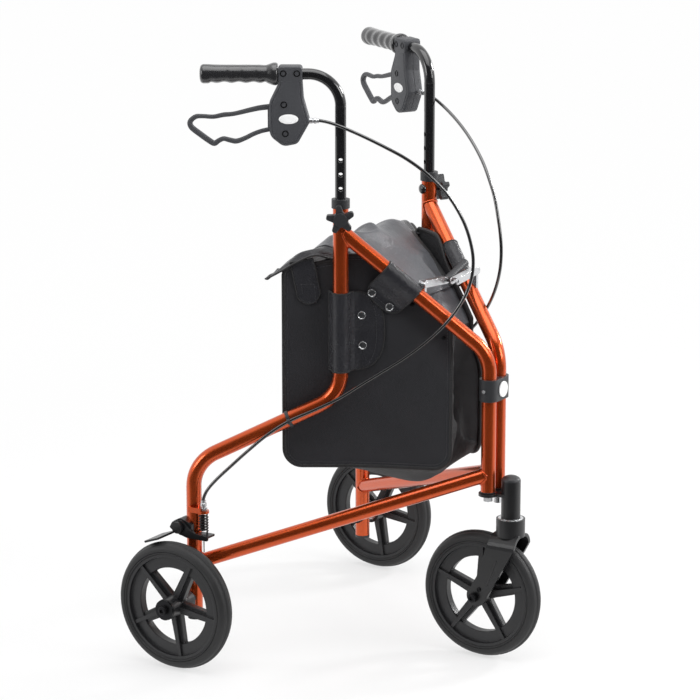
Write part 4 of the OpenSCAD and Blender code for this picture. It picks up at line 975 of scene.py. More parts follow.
class ROLLATOR_OT_fittings(Operator):
    """Weld beads, bolts, adjusters, the clip's blank disc and the washer on the caster"""

    bl_idname = "rollator.fittings"
    bl_label = "Small fittings"

    def execute(self, context):
        up = Vector((0, 0, 1))
        for side, way in SIDES:
            body, beads = f"{side}_frame", Shape()
            for weld in WELDS:
                line = weld_line(*weld, way)
                widths = [BEAD_R + BEAD_RIPPLE * sin(BEAD_BEAT * k) for k in range(len(line))]
                sweep(beads, line, widths, 8, closed=True)
            beads.build(f"{side}_weld_beads", "orange", body, "orange_paint", crease=180)

            knob_low, knob_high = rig.box(f"{side}_star_knob")
            place = spot(UPRIGHT_S, -TUBE_R, 500 * (knob_low[2] + knob_high[2]), way)
            dome = lathe(
                f"{side}_dome_bolt", "black_gloss", body, "black_paint", place, -outwards(way), DOME_BOLT
            )
            place = spot(*CABLE_ROUTE[-1][:2], ADJUSTER_Z, way)
            adjuster = lathe(f"{side}_cable_adjuster", "steel", body, "bright_steel", place, up, ADJUSTER)
            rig.replaces(dome, f"{side}_frame_hardware")
            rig.replaces(adjuster, f"{side}_frame_hardware")

            hub = spot(LEG_S, 0, AXLE_Z, way)
            hub.y = end_y(f"{side}_wheel_axle", way)
            lathe(f"{side}_hub_bolt", "dark_steel", body, "dark_steel", hub, Vector((0, way, 0)), SOCKET_BOLT)

        axle_low, axle_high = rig.box("front_axle")
        axle_x = 500 * (axle_low[0] + axle_high[0])
        bolts, lines = Shape(), Shape()
        for _, way in SIDES:
            aside, face = Vector((0, way, 0)), end_y("caster_fork", way)
            hub = Vector((axle_x / 1000, end_y("front_axle", way), AXLE_Z / 1000))
            turned(bolts, hub, aside, SOCKET_BOLT)
            screw = Vector(((axle_x + FORK_SCREW_X) / 1000, face, FORK_SCREW_Z / 1000))
            turned(bolts, screw, aside, FORK_SCREW)
            ridge = [Vector(((axle_x + x) / 1000, face, z / 1000)) for x, z in FORK_RIDGE]
            sweep(lines, along(ridge, 6), 0.0011, 8, 0.0006, Vector((0, 1, 0)))
        bolts.build("fork_bolts", "dark_steel", "fork", "dark_steel")
        lines.build("fork_ridges", "black_satin", "fork", "black_paint", crease=180)

        _, fork_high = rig.box("caster_fork")
        place = Vector((JOINTS["caster_swivel"]["pos_m"][0], 0, fork_high[2]))
        lathe("caster_washer", "steel", "fork", "bright_steel", place, up, WASHER)
        clip_low, clip_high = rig.box("hinge_clip")
        place = Vector((clip_high[0], 0, (clip_low[2] + clip_high[2]) / 2))
        lathe("clip_disc", "blank", "front_post", "black_plastic", place, Vector((1, 0, 0)), CLIP_DISC, 48)
        return {"FINISHED"}


class ROLLATOR_OT_cables(Operator):
    """Brake cables from the levers to the rear wheels"""

    bl_idname = "rollator.cables"
    bl_label = "Brake cables"

    def execute(self, context):
        radius = context.scene.rollator_handles.cable / 2
        for side, way in SIDES:
            line = along([spot(s, out, z, way) for s, out, z in CABLE_ROUTE], 5)
            tube = sweep(Shape(), line, radius, 12)
            cable = tube.build(f"{side}_cable_jacket", "jacket", slot="cable_jacket")
            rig.blend(cable, f"{side}_frame", f"{side}_handle", spot(60, 16, 480, way), spot(60, 16, 790, way))
            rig.replaces(cable, f"{side}_brake_cable")
        return {"FINISHED"}


class ROLLATOR_OT_grips(Operator):
    """Soft grips with finger grooves underneath, a collar in front and a closed end"""

    bl_idname = "rollator.grips"
    bl_label = "Grips"

    def execute(self, context):
        sizes = context.scene.rollator_handles
        wave, flange = sizes.grip_wave * 1000, sizes.grip_flange * 1000
        steps = 90
        for side, way in SIDES:
            rows = []
            for i in range(steps + 1):
                # t runs back from the front: the collar, the neck behind it, the swell and the rounded end
                t = GRIP_LEN * i / steps
                front = flange * (smoothstep((17 - t) / 12) - 0.5 * smoothstep((2.2 - t) / 2.2))
                neck = 0.5 * bell(t, 19, 4)
                swell = 0.8 * bell(t, GRIP_LEN - 7, 12)
                past = max(0.0, (t - GRIP_LEN + GRIP_ROUND) / GRIP_ROUND)
                end = GRIP_ROUND * (1 - sqrt(max(0.0, 1 - past ** 2)))
                inside = smoothstep((t - GRIP_GROOVES) / 4) * smoothstep((GRIP_LEN - 12 - t) / 4)
                valley = 0.5 - 0.5 * cos(2 * pi * (t - GRIP_GROOVES) / GRIP_PITCH)
                # Grooves for the fingers underneath, with knuckles at both sides between them
                ring = []
                for a in circle(48):
                    under = max(0.0, -sin(a)) ** 0.6
                    knuckle = max(0.0, cos(a - 0.3)) ** 3 + max(0.0, -cos(a + 0.3)) ** 3
                    groove = wave * under * inside * (1 - valley)
                    r = GRIP_R - 0.7 + front - neck + swell - end - groove + 1.5 * inside * knuckle * valley
                    ring.append(spot(GRIP_FRONT_S + t, r * cos(a), GRIP_Z + r * sin(a), way))
                rows.append(ring)
            shape = Shape().rows(rows, ring=True, caps=True)
            grip = shape.build(f"{side}_hand_grip", "grip", f"{side}_handle", "grip_rubber", crease=60)
            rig.replaces(grip, f"{side}_grip")
        return {"FINISHED"}


# Outlines as x ahead of the lever's pivot, z above it and the radius of the corner
HOUSING = (
    (-11.1, 63, 2), (-11.1, 49, 6), (-24, 23, 18), (-23, -23, 16), (-4, -38, 14), (16, -34, 10),
    (33.5, -3, 6), (24.5, 29, 14), (22.9, 53, 3), (22.9, 63, 2),
)
CLAMP = ((-11.1, 54, 3.5), (22.9, 54, 3.5), (22.9, 74.8, 4.5), (-11.1, 74.8, 4.5))
HOUSING_SCREWS = ((-3, 21.6), (-1, -19.4))
CLAMP_SCREWS = ((-3.6, 65.5), (15.4, 65.5))
SCREW = (
    (4.7, -1.0), (4.7, 0.3), (4.4, 0.7), (3.6, 0.8), (3.2, 0.2), (2.9, -0.4), (1.9, -0.3, 6), (0.1, -0.9),
)
BARREL = (
    (4.0, -2.0), (4.0, 3.0), (3.3, 3.4), (3.3, 4.8), (4.1, 5.2), (4.1, 8.4), (3.3, 9.0), (3.3, 12.4),
    (2.6, 12.5),
)
BARREL_PLACE = (254.5, 6, 795)
BADGE = ((1.0, 0.1), (1.0, 0.9), (0.95, 1.15), (0.5, 1.25), (0.02, 1.25))
BADGE_X, BADGE_Z, BADGE_LONG, BADGE_TALL = 3.6, 1.3, 13.6, 6.8


def by_pivot(way):
    """A function that takes x ahead of a lever's pivot, z above it and out to a point."""

    def lift(x, z, out):
        return spot(PIVOT_S - x, out, PIVOT_Z + z, way)

    return lift


def both_faces(stations):
    """Stations of a slab from one face to the middle, and on to the face opposite."""
    return stations + [(depth, -height) for depth, height in reversed(stations)]


class ROLLATOR_OT_housings(Operator):
    """Brake housings with their clamps, screws and blank badges"""

    bl_idname = "rollator.housings"
    bl_label = "Brake housings"

    def execute(self, context):
        half = context.scene.rollator_handles.housing_width * 500
        rim = half + 1
        face = [
            (5.4, half + 0.5), (4.6, half + 0.35), (4.2, half - 0.5), (3.3, half - 0.6), (2.8, half),
            (1.7, half - 0.2), (0.6, half - 1.2), (0.0, half - 2.6), (0.0, 0.5), (0.35, 0.3),
        ]
        edge = [(1.8, rim), (0.6, rim - 0.5), (0.0, rim - 1.7)]
        heads = [(p, half + 0.5) for p in HOUSING_SCREWS] + [(p, rim) for p in CLAMP_SCREWS]
        for side, way in SIDES:
            handle, lift, shell = f"{side}_handle", by_pivot(way), Shape()
            slab(shell, rounded_outline(HOUSING, 8), lift, both_faces(face))
            slab(shell, rounded_outline(CLAMP, 6), lift, both_faces(edge))
            housing = shell.build(f"{side}_brake_shell", "housing", handle, crease=35)
            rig.replaces(housing, f"{side}_brake_housing")

            screws, badge = Shape(), Shape()
            for face_way in (-1, 1):
                for (x, z), level in heads:
                    turned(screws, lift(x, z, face_way * level), outwards(way) * face_way, SCREW, 24)
                rows = []
                for r, h in BADGE:
                    long, tall, level = BADGE_LONG * r, BADGE_TALL * r, face_way * (half + h)
                    ring = [(BADGE_X + long * cos(a), BADGE_Z + tall * sin(a)) for a in circle(48)]
                    rows.append([lift(x, z, level) for x, z in ring])
                badge.rows(rows, ring=True, caps=True)
            bolts = screws.build(f"{side}_housing_screws", "dark_steel", handle, "dark_steel")
            badge.build(f"{side}_housing_badges", "blank", handle)
            port, ahead = spot(*BARREL_PLACE, way), -rearwards(way)
            ferrule = lathe(f"{side}_cable_barrel", "steel", handle, "bright_steel", port, ahead, BARREL, 20)
            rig.replaces(bolts, f"{side}_lever_hardware")
            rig.replaces(ferrule, f"{side}_lever_hardware")
        return {"FINISHED"}


# x ahead of the pivot, z above it and half the width of the lever's loop
LEVER_LOOP = (
    (-20, 17, 4.0), (-40, 14.6, 3.7), (-72, 7, 3.1), (-88, 5.2, 3.3), (-102, 2.5, 3.0), (-117, 3.2, 3.0),
    (-127, 2.4, 3.4), (-134.6, -4.5, 3.8), (-132.7, -12.5, 4.1), (-121, -22, 4.2), (-108, -31.5, 4.1),
    (-101, -35.2, 3.9), (-95, -31.5, 3.5), (-88, -28.6, 3.3), (-80, -30.4, 3.5), (-70, -32, 3.6),
    (-58, -27.8, 3.3), (-46, -21.8, 3.2), (-34, -17.4, 3.1), (-20, -14.5, 3.2),
)
LEVER_ROOT = ((8, 13, 5), (-26, 21, 3), (-26, -17, 3), (8, -13, 5))


class ROLLATOR_OT_levers(Operator):
    """Loop levers of the brakes"""

    bl_idname = "rollator.levers"
    bl_label = "Brake levers"

    def execute(self, context):
        half = context.scene.rollator_handles.lever_width / 2
        widths = [w / 1000 for w in along_numbers([w for _, _, w in LEVER_LOOP], 6)]
        for side, way in SIDES:
            lever, lift = Shape(), by_pivot(way)
            line = along([lift(x, z, 0) for x, z, _ in LEVER_LOOP], 6)
            sweep(lever, line, widths, 18, half, outwards(way), power=2.7)
            slab(lever, rounded_outline(LEVER_ROOT, 6), lift, both_faces([(0.8, 3.5), (0, 2.8)]))
            loop = lever.build(f"{side}_lever_loop", "housing", f"{side}_lever", crease=50)
            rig.replaces(loop, f"{side}_brake_lever")
        return {"FINISHED"}


# Bag


# How far a panel lies inside its frame's plane, its upper corner's radius, and its columns and rows
PANEL_IN, PANEL_ROUND, PANEL_COLUMNS, PANEL_STEPS = 14.2, 12.0, 56, 48
TAPE_INSET, TAPE_PROUD, SEAM_INSET = 1.4, 0.0008, 7


def rounding(edge, r):
    """How far a corner of radius r draws in at a distance from its edge."""
    return r - sqrt(max(0.0, r * r - (r - edge) ** 2)) if edge < r else 0


def panel_low(bag, s):
    """Height of a panel's lower edge."""
    edge = min(s - bag.front * 1000, bag.rear * 1000 - s)
    return bag.low * 1000 + rounding(edge, bag.corner * 1000)


def panel_high(bag, s):
    """Height of a panel's upper edge, behind the sloping tube and then under the lid."""
    rear = bag.rear * 1000
    over = bag.top * 1000 + 12 * smoothstep((rear - s) / 90) + 7 * smoothstep((224 - s) / 10)
    t = smoothstep((s - 130) / 40)
    return (slope_z(s) - 6) * (1 - t) + over * t - rounding(rear - s, PANEL_ROUND)


def panel_out(bag, s, z):
    """How far a panel stands out from its frame's plane: behind the tubes, bowed out at its lower front."""
    bow = bag.bow * 1000 * smoothstep((196 - s) / 150)
    shy = smoothstep((slope_z(s) - 26 - z) / 70)
    soft = 1.3 * sin(s * 0.031 + 0.6) * sin(z * 0.021 + 0.8)
    return bow * shy - PANEL_IN - abs(soft)


def flap_out(bag, s, z, lift):
    """How far something lies out from a frame's plane that is lift over its panel's outer face."""
    pucker = 0.9 * noise.noise(Vector((s * 0.055, z * 0.075, 7.7)))
    return panel_out(bag, s, z) + bag.panel_thickness * 500 + lift + min(1.0, lift) * pucker


def on_panel(bag, s, z, lift, way):
    """A point that is lift over a panel's outer face."""
    return spot(s, flap_out(bag, s, z, lift), z, way)


def panel_edge(bag):
    """The outline of a panel, as s and z."""
    front, rear = bag.front * 1000, bag.rear * 1000
    columns = spread(front, rear, PANEL_COLUMNS)
    edge = [(front, z) for z in spread(panel_high(bag, front), panel_low(bag, front), 24)]
    edge += [(s, panel_low(bag, s)) for s in columns[1:]]
    edge += [(rear, z) for z in spread(panel_low(bag, rear), panel_high(bag, rear), 24)[1:]]
    edge += [(s, panel_high(bag, s)) for s in reversed(columns[1:-1])]
    return [Vector(p) for p in edge]


class ROLLATOR_OT_bag_panels(Operator):
    """Padded nylon panels with their edge tape and stitching"""

    bl_idname = "rollator.bag_panels"
    bl_label = "Bag panels"

    def execute(self, context):
        bag = context.scene.rollator_bag
        half = bag.panel_thickness * 500
        outline = panel_edge(bag)
        for side, way in SIDES:
            body = f"{side}_frame"
            rows, flat = [], []
            for s in spread(bag.front * 1000, bag.rear * 1000, PANEL_COLUMNS):
                heights = spread(panel_low(bag, s), panel_high(bag, s), PANEL_STEPS)
                outer = [spot(s, panel_out(bag, s, z) + half, z, way) for z in heights]
                inner = [spot(s, panel_out(bag, s, z) - half, z, way) for z in reversed(heights)]
                rows.append(outer + inner)
                flat.append([(s / 1000, z / 1000) for z in [*heights, *reversed(heights)]])
            shape = Shape().rows(rows, ring=True, caps=True, flat=flat)
            panel = shape.build(f"{side}_bag_side", "nylon", body, "bag_cloth", crease=60)
            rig.replaces(panel, f"{side}_bag_panel")
            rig.padded(panel, fill=0.25)

            name, thick = f"{side}_bag_edge_tape", bag.panel_thickness / 2 + TAPE_PROUD
            line = [spot(p.x, panel_out(bag, p.x, p.y), p.y, way) for p in inset(outline, TAPE_INSET)]
            webbing(name, body, line, bag.tape / 2, 10, thick, outwards(way), closed=True, power=3.2)
            seam = [on_panel(bag, p.x, p.y, 0.1, way) for p in inset(outline, SEAM_INSET)]
            sew(f"{side}_panel_stitches", body, seam)
        return {"FINISHED"}


# The snaps and studs of the sleeves, as turned takes them, and their places as s, z and lift over the panel
SNAP_SIZE = 12.6
SNAP_RING = ((6.3, -0.8), (6.3, 0.8), (5.8, 1.5), (4.9, 1.7), (4.3, 1.2), (4.2, 0.4), (0.1, 0.4))
SNAP_CAP = ((4.1, 0.2), (3.8, 1.2), (2.6, 1.8), (0.1, 2.0))
FLAP_LIFT, SLOPE_FLAP_LIFT = 2.1, 4.0
SNAPS = (
    (182.6, 512.3, FLAP_LIFT), (181.1, 468.3, FLAP_LIFT), (168, 545.5, SLOPE_FLAP_LIFT),
    (143, 524.8, SLOPE_FLAP_LIFT),
)
STUD = ((3.3, -0.6), (3.3, 0.5), (2.6, 1.2), (1.4, 1.5), (0.1, 1.5))
STUDS = ((110.3, 527.1, 0.2), (65.4, 478.9, 0.2))
# s and z of the strap's middle line and of its seam
STRAP = ((268, 591), (267, 586), (264, 575), (259, 550), (254.5, 529))
STRAP_SEAM = ((268, 557), (250, 557), (247, 531), (265, 531))
STRAP_STEPS, STRAP_SEAM_LIFT = 5, 2.8
# Flap of the upright's sleeve: lower and upper end, root and reach; flap on the slope: middle, half its
# width, root and depth; radius of each sleeve
FLAP_LOW, FLAP_HIGH, FLAP_ROOT, FLAP_REACH = 433.0, 547.0, 194, 43.0
SLOPE_FLAP_S, SLOPE_FLAP_HALF, SLOPE_FLAP_ROOT, SLOPE_FLAP_DEEP = 126.7, 29.0, 29, 49.0
SLEEVE_R, SLOPE_SLEEVE_R = 12.4, 12.2


def wrap(radius, *degrees):
    """Points round a tube."""
    return [(radius * cos(radians(a)), radius * sin(radians(a))) for a in degrees]


def upright_sleeve(bag, way):
    """Rows of the sleeve round the upright, which ends in a rounded flap on the panel."""
    middle, half = (FLAP_LOW + FLAP_HIGH) / 2, (FLAP_HIGH - FLAP_LOW) / 2
    rows = []
    for z in spread(FLAP_LOW, FLAP_HIGH, 30):
        reach = 193 - FLAP_REACH * max(0.0, 1 - abs((z - middle) / half) ** 2.6) ** 0.45
        path = [(229, -11.8), (224.8, -4.2)]
        path += [(UPRIGHT_S + x, out) for x, out in wrap(SLEEVE_R, 20, 55, 90, 125, 160, 188)]
        for k in range(9):
            s = FLAP_ROOT + (reach - FLAP_ROOT) * k / 8
            lay = smoothstep((196 - s) / 12)
            path.append((s, -7.5 * (1 - lay) + flap_out(bag, s, z, FLAP_LIFT) * lay))
        rows.append(along([spot(s, out, z, way) for s, out in path], 3))
    return rows


def slope_sleeve(bag, way):
    """Rows of the sleeve over the sloping tube, which hangs down on the panel."""
    up = Vector((-sin(SLOPE_TILT), cos(SLOPE_TILT)))
    foot = Vector((SLOPE_FLAP_S, slope_z(SLOPE_FLAP_S)))
    rows = []
    for t in spread(-SLOPE_FLAP_HALF, SLOPE_FLAP_HALF, 24):
        axis = foot + Vector((cos(SLOPE_TILT), sin(SLOPE_TILT))) * t
        end = SLOPE_FLAP_DEEP - 14 * abs(t / SLOPE_FLAP_HALF) ** 4
        path = wrap(SLOPE_SLEEVE_R, -80, -40, 0, 35, 70, 105) + [(-14, 7), (-22, 0)]
        for k in range(7):
            n = SLOPE_FLAP_ROOT + (end - SLOPE_FLAP_ROOT) * k / 6
            p, lay = axis - up * n, smoothstep((n - 22) / 14)
            path.append((-n, -3 * (1 - lay) + flap_out(bag, p.x, p.y, SLOPE_FLAP_LIFT) * lay))
        line = []
        for n, out in path:
            p = axis + up * n
            line.append(spot(p.x, out, p.y, way))
        rows.append(along(line, 3))
    return rows


def strap_rows(bag, way):
    """Rows of the strap that comes from under the lid and ends round on the panel."""
    half = bag.strap * 500
    line = along([Vector((s, z, 0)) for s, z in STRAP], 9)
    rows = []
    for i, p in enumerate(line):
        ahead = (line[min(i + 1, len(line) - 1)] - line[max(i - 1, 0)]).normalized()
        left = line_length(line[i:])
        w = max(3.0, half * sqrt(max(0.0, 1 - max(0.0, 1 - left / half) ** 2)))
        row = []
        for k in range(-STRAP_STEPS, STRAP_STEPS + 1):
            s, z = p.x + ahead.y * w * k / STRAP_STEPS, p.y - ahead.x * w * k / STRAP_STEPS
            lift = 0.9 + 0.9 * smoothstep((588 - p.y) / 20) + 0.5 * (1 - (k / STRAP_STEPS) ** 4)
            row.append(spot(s, flap_out(bag, p.x, p.y, lift), z, way))
        rows.append(row)
    return rows


class ROLLATOR_OT_bag_sleeves(Operator):
    """Sleeves that hold the bag to the tubes, with their snaps, and the straps at its rear"""

    bl_idname = "rollator.bag_sleeves"
    bl_label = "Bag sleeves"

    def execute(self, context):
        bag = context.scene.rollator_bag
        size = bag.snap * 1000 / SNAP_SIZE
        for side, way in SIDES:
            body, out = f"{side}_frame", outwards(way)
            kinds = (
                ("upright_sleeve", upright_sleeve(bag, way), FLAP_HIGH - FLAP_LOW),
                ("slope_sleeve", slope_sleeve(bag, way), 2 * SLOPE_FLAP_HALF),
                ("strap", strap_rows(bag, way), bag.strap * 1000),
            )
            for kind, rows, width in kinds:
                name = f"{side}_{kind}"
                sheet = Shape().rows(rows)
                sheet = sheet.build(name, "vinyl_dark", body, "bag_vinyl", crease=180, cloth=0.0012)
                binding = webbing(name + "_binding", body, border(rows), 0.0013, 6, closed=True)
                if kind == "strap":
                    long = line_length([row[STRAP_STEPS] for row in rows])
                else:
                    long = max(line_length(row) for row in rows)
                    seam = [row[-7] + out * 0.0008 for row in rows[2:-2]]
                    sew(name + "_stitches", body, seam, closed=False)
                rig.replaces(sheet, f"{side}_bag_panel")
                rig.sheet(
                    sheet, flat=(width / 1000, long), held="stretched", rests_on=[f"{side}_bag_side"],
                    area=min(sheet_area(rows), width * long / 1000), with_pieces=[binding],
                )
            rings, caps, studs = Shape(), Shape(), Shape()
            for s, z, lift in SNAPS:
                place = on_panel(bag, s, z, lift + 0.6, way)
                turned(rings, place, out, [(r * size, h) for r, h in SNAP_RING])
                turned(caps, place, out, [(r * size, h) for r, h in SNAP_CAP])
            for s, z, lift in STUDS:
                turned(studs, on_panel(bag, s, z, lift, way), out, STUD, 24)
            rings.build(f"{side}_snap_rings", "steel", body, "chrome")
            caps.build(f"{side}_snap_caps", "plastic", body, "black_plastic")
            studs.build(f"{side}_panel_studs", "dark_steel", body, "dark_steel")
            seam = [on_panel(bag, s, z, STRAP_SEAM_LIFT, way) for s, z in STRAP_SEAM]
            sew(f"{side}_strap_stitches", body, seam)
        return {"FINISHED"}


def wall_rows(bag):
    """Rows of the walls from the top of the front round the bottom to the top of the rear: s and z at the
    panels, then x and z of the middle fold."""
    front, rear, low = bag.front * 1000 + 3, bag.rear * 1000 - 4, bag.low * 1000 + 3
    sag = bag.sag * 1000
    front_x, rear_x = spot(front, 0, 0, 1).x * 1000, spot(rear, 0, 0, 1).x * 1000
    middle = (front + rear) / 2 - 14
    middle_x = spot(middle, 0, 0, 1).x * 1000
    return [
        (front, 489, front_x - 10, 491), (front, 460, front_x - 19, 460), (front, 430, front_x - 22, 430),
        (front, 370, front_x - 24, 368), (front, 325, front_x - 18, 322), (front + 3, 305, front_x - 14, 300),
        (front + 12, 292, front_x - 20, 286), (front + 30, low, front_x - 34, low - sag * 0.45),
        (front + 75, low, front_x - 62, low - sag * 0.85), (middle, low, middle_x, low - sag),
        (middle + 50, low, middle_x - 40, low - sag * 0.95), (rear - 40, low, rear_x + 62, low - sag * 0.75),
        (rear - 14, 293, rear_x + 40, low - sag * 0.4), (rear - 3, 305, rear_x + 30, 296),
        (rear, 325, rear_x + 27, 325), (rear, 400, rear_x + 30, 402), (rear, 480, rear_x + 27, 482),
        (rear, 566, rear_x + 16, 566),
    ]


def cloth_piece(name, finish, slot, body, rows, held, **looks):
    """A thin sheet from rows of points between the two panels."""
    run, flat = 0.0, []
    middle = len(rows[0]) // 2
    for i, row in enumerate(rows):
        if i:
            run += (row[middle] - rows[i - 1][middle]).length
        width = (row[-1] - row[0]).length
        flat.append([(width * k / (len(row) - 1), run) for k in range(len(row))])
    piece = Shape().rows(rows, flat=flat).build(name, finish, body, slot, crease=180, cloth=0.0014, **looks)
    wide = max(line_length(row) for row in rows)
    far = max(line_length(column) for column in zip(*rows))
    return piece, {"flat": (wide, far), "held": held, "area": min(sheet_area(rows), wide * far)}


def squash_all(*pieces):
    """Narrows pieces as the frames fold together."""
    for piece in pieces:
        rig.squash(piece, "right_fold", axis=(0, 1, 0), anchor=(0, 0, 0), keep=0.14)


PANELS = ["right_bag_side", "left_bag_side"]
# s and z of the front flap at the panels
APRON = ((112, 536), (96, 522), (80, 508), (66, 496), (57, 487))
WALL_STEPS = 40


def between_panels(bag, s, z):
    """The ends of a row of cloth, on the inner faces of the panels."""
    inside = bag.panel_thickness * 500 + 0.5
    return [spot(s, panel_out(bag, s, z) - inside, z, way) for _, way in SIDES]


class ROLLATOR_OT_bag_walls(Operator):
    """Folding front, bottom and rear of the bag in one strip, and the vinyl flap in front of its lid"""

    bl_idname = "rollator.bag_walls"
    bl_label = "Bag walls"

    def execute(self, context):
        bag = context.scene.rollator_bag
        rough = wall_rows(bag)
        sides = along([Vector((s, z, 0)) for s, z, _, _ in rough], 5)
        folds = along([Vector((x, 0, z)) for _, _, x, z in rough], 5)
        rows = []
        for (s, z, _), fold in zip(sides, folds):
            right, left = between_panels(bag, s, z)
            slack = 0.7 + 1.5 * bell(z, 310, 60) * smoothstep((150 - s) / 60)
            row = []
            for k in range(WALL_STEPS + 1):
                t = 2 * k / WALL_STEPS - 1
                share = abs(t)
                soft = (sqrt(share * share + 0.02) - 0.1414 * (1 - share)) / sqrt(1.02)
                point = (fold * 0.001).lerp(right if t < 0 else left, min(1.0, soft))
                wrinkle = noise.fractal(Vector((point.x * 13, point.y * 15, point.z * 11)), 1.0, 2.1, 4)
                crease = 1 - abs(noise.noise(Vector((point.x * 16 + point.z * 9, point.y * 7, point.z * 21))))
                push = 0.008 * wrinkle + 0.006 * (crease ** 6 - 0.4)
                row.append(point + Vector((0.6, 0.1, 0.5)) * (slack * push * (1 - share ** 6)))
            rows.append(row)
        # The walls' nylon is the panels' nylon made darker: painted shade.
        cloth, facts = cloth_piece("bag_walls", "nylon_wall", "bag_cloth", "front_post", rows, "hung")
        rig.replaces(cloth, "bag_body")
        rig.sheet(cloth, rests_on=PANELS, **facts)

        rows = []
        for s, z, _ in along([Vector((s, z, 0)) for s, z in APRON], 5):
            right, left = between_panels(bag, s, z)
            row = []
            for k in range(WALL_STEPS + 1):
                t = 2 * k / WALL_STEPS - 1
                point = right.lerp(left, k / WALL_STEPS)
                fold = noise.noise(Vector((point.x * 10, point.y * 30, 2.3)))
                point.z += 0.001 * (3.5 * fold - 3 * (1 - t * t)) * (1 - t ** 8)
                row.append(point)
            rows.append(row)
        apron, facts = cloth_piece("bag_front_flap", "vinyl", "bag_vinyl", "front_post", rows, "stretched")
        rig.replaces(apron, "bag_body")
        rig.sheet(apron, rests_on=PANELS, **facts)
        squash_all(cloth, apron)
        return {"FINISHED"}


# Rows of the lid from front to rear: s, z of the hem, rise of the middle, out of the hem, height of the
# hem's fold, and how wide the middle piece is from the centre line
LID_ROWS = (
    (105, 533, 0, -18.5, 0, 50), (130, 547, 2, -18.5, 0, 62), (160, 564, 4, -18.5, 0, 74),
    (190, 581, 6, -18.5, 0, 84), (206, 589.5, 7, -18, 1, 90), (228, 594.5, 8, -13.5, 5, 99),
    (250, 599, 8, -11, 7, 104), (275, 589, 6, -10, 9, 105), (296, 577, 3, -9.5, 8, 105),
    (318, 565, -1, -9, 4, 105),
)
LID_LAP, LID_STEPS, CORNER_STEPS = 4.0, 48, 20
# The fine step where the corners start, and the one where the webbing at the sides of the middle ends
CORNER_START, LID_TAPE_END = 25, 27


def lid_steps():
    """The rows of the lid in fine steps, each as s, z, rise, out, fold and width."""
    return list(zip(*(along_numbers(column, 6) for column in zip(*LID_ROWS))))


def lid_point(step, y):
    """A point of the lid's surface at y, in millimetres from the centre line."""
    s, z, rise, out, drop, _ = step
    hem = spot(s, out, z, 1)
    point = Vector((hem.x, y / 1000, hem.z))
    t = min(1.0, abs(point.y) / hem.y)
    ripple = noise.fractal(Vector((point.x * 7 + 3.1, point.y * 11, 1.7)), 1.0, 2.0, 4)
    ridge = 1 - abs(noise.noise(Vector((point.x * 6 + 2 + point.y * 4, point.y * 17 - point.x * 4, 4.2))))
    soft = (2.4 * ripple + 11 * (ridge ** 6 - 0.3)) * (1 - t ** 6) * smoothstep((s - 104) / 25)
    point.z += 0.001 * (drop * smoothstep((1 - t) / 0.09) + rise * (1 - t * t) + soft)
    return point


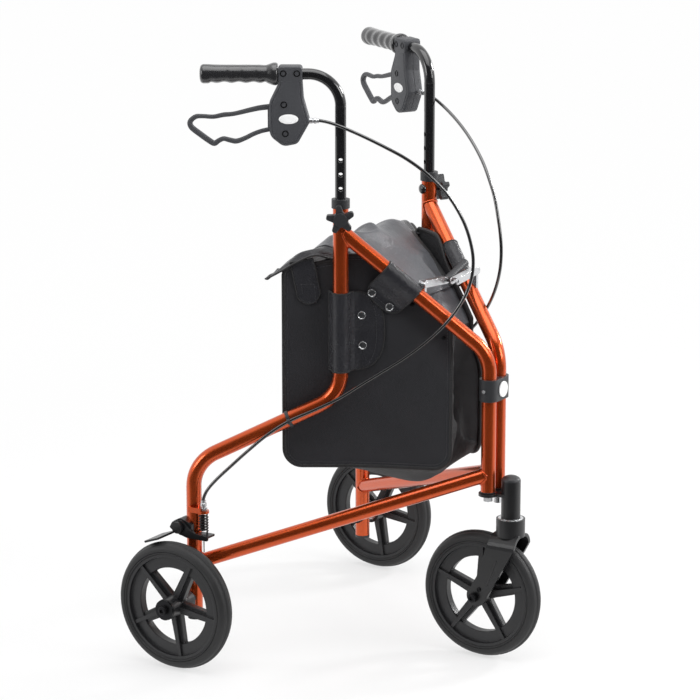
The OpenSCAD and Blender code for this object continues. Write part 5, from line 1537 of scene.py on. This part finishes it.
class ROLLATOR_OT_bag_lid(Operator):
    """Vinyl lid with its webbing: a middle that lifts between the uprights, and two corners on the panels"""

    bl_idname = "rollator.bag_lid"
    bl_label = "Bag lid"

    def execute(self, context):
        steps, rows = lid_steps(), []
        for step in steps:
            shares = [2 * k / LID_STEPS - 1 for k in range(LID_STEPS + 1)]
            rows.append([lid_point(step, step[5] * share) for share in shares])
        lid, facts = cloth_piece("bag_lid_sheet", "vinyl", "bag_vinyl", "lid", rows, "stretched", smooth=1)
        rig.replaces(lid, "bag_lid")
        up, tapes = Vector((0, 0, 1)), []
        for (side, way), k in zip(SIDES, (0, LID_STEPS)):
            path = [row[k] + Vector((0, -way * 0.003, 0.0007)) for row in rows[:LID_TAPE_END]]
            tapes.append(webbing(f"{side}_lid_webbing", "lid", path, 0.0045, 10, 0.0016, up, power=3.5))
        lean = Vector((0.4, 0, 1))
        tapes.append(webbing("lid_rear_webbing", "lid", rows[-1], 0.004, 10, 0.0016, lean, power=3.0))
        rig.sheet(lid, rests_on=PANELS, with_pieces=tapes, **facts)
        squash_all(lid, *tapes)

        for side, way in SIDES:
            body, rows = f"{side}_frame", []
            for step in steps[CORNER_START:]:
                inner, outer = step[5] - LID_LAP, spot(step[0], step[3], 0, 1).y * 1000
                row = []
                for k in range(CORNER_STEPS + 1):
                    share = k / CORNER_STEPS
                    point = lid_point(step, way * (inner + (outer - inner) * sin(pi / 2 * share)))
                    point.z -= 0.0015 * (1 - share)
                    row.append(point)
                rows.append(row)
            name = f"{side}_lid_corner"
            # The corners take the dark vinyl of the sleeves: painted shade, as they are of the lid's own vinyl.
            corner, facts = cloth_piece(name, "vinyl_dark", "bag_vinyl", body, rows, "stretched", smooth=1)
            path = [row[-1] for row in rows] + list(reversed(rows[-1][:-1]))
            tape = webbing(f"{side}_corner_webbing", body, path, 0.0032, 8, 0.0014, up, power=3.0)
            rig.replaces(corner, "bag_lid")
            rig.sheet(corner, rests_on=[f"{side}_bag_side"], with_pieces=[tape], **facts)
            for piece in (corner, tape):
                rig.squash(piece, "right_fold", axis=outwards(way), anchor=spot(260, -12, 600, way), keep=0.25)
        return {"FINISHED"}


OPERATORS = (
    ROLLATOR_OT_stage,
    ROLLATOR_OT_metal_and_wheels,
    ROLLATOR_OT_fittings,
    ROLLATOR_OT_cables,
    ROLLATOR_OT_grips,
    ROLLATOR_OT_housings,
    ROLLATOR_OT_levers,
    ROLLATOR_OT_bag_panels,
    ROLLATOR_OT_bag_sleeves,
    ROLLATOR_OT_bag_walls,
    ROLLATOR_OT_bag_lid,
)


class ROLLATOR_PT_panel(Panel):
    """Sizes, colours and pieces of the rollator"""

    bl_idname = "ROLLATOR_PT_panel"
    bl_label = "Three wheel rollator"
    bl_space_type = "VIEW_3D"
    bl_region_type = "UI"
    bl_category = "Rollator"

    def draw(self, context):
        scene, layout = context.scene, self.layout
        for title, group in GROUPS:
            box = layout.box()
            box.label(text=title)
            settings = getattr(scene, group)
            for name in settings.bl_rna.properties.keys():
                if name not in ("rna_type", "name"):
                    box.prop(settings, name)
        for piece in OPERATORS:
            layout.operator(piece.bl_idname)


GROUPS = (
    ("Colours", "rollator_colours"),
    ("Bag", "rollator_bag"),
    ("Handles", "rollator_handles"),
    ("Stage", "rollator_stage"),
)
SETTINGS = (FinishColours, BagSizes, HandleSizes, StageSettings)
CLASSES = (*SETTINGS, *OPERATORS, ROLLATOR_PT_panel)


def register():
    for item in CLASSES:
        bpy.utils.register_class(item)
    for (_, group), settings in zip(GROUPS, SETTINGS):
        setattr(bpy.types.Scene, group, PointerProperty(type=settings))


def unregister():
    for _, group in GROUPS:
        delattr(bpy.types.Scene, group)
    for item in reversed(CLASSES):
        bpy.utils.unregister_class(item)


def main():
    register()
    for piece in OPERATORS:
        group, name = piece.bl_idname.split(".")
        getattr(getattr(bpy.ops, group), name)()
    with open("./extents.json", "w") as out:
        json.dump({"cad": [list(v) for v in CAD_BOX], "visual": [list(v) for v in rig.bounds()]}, out)


if __name__ == "__main__":
    main()
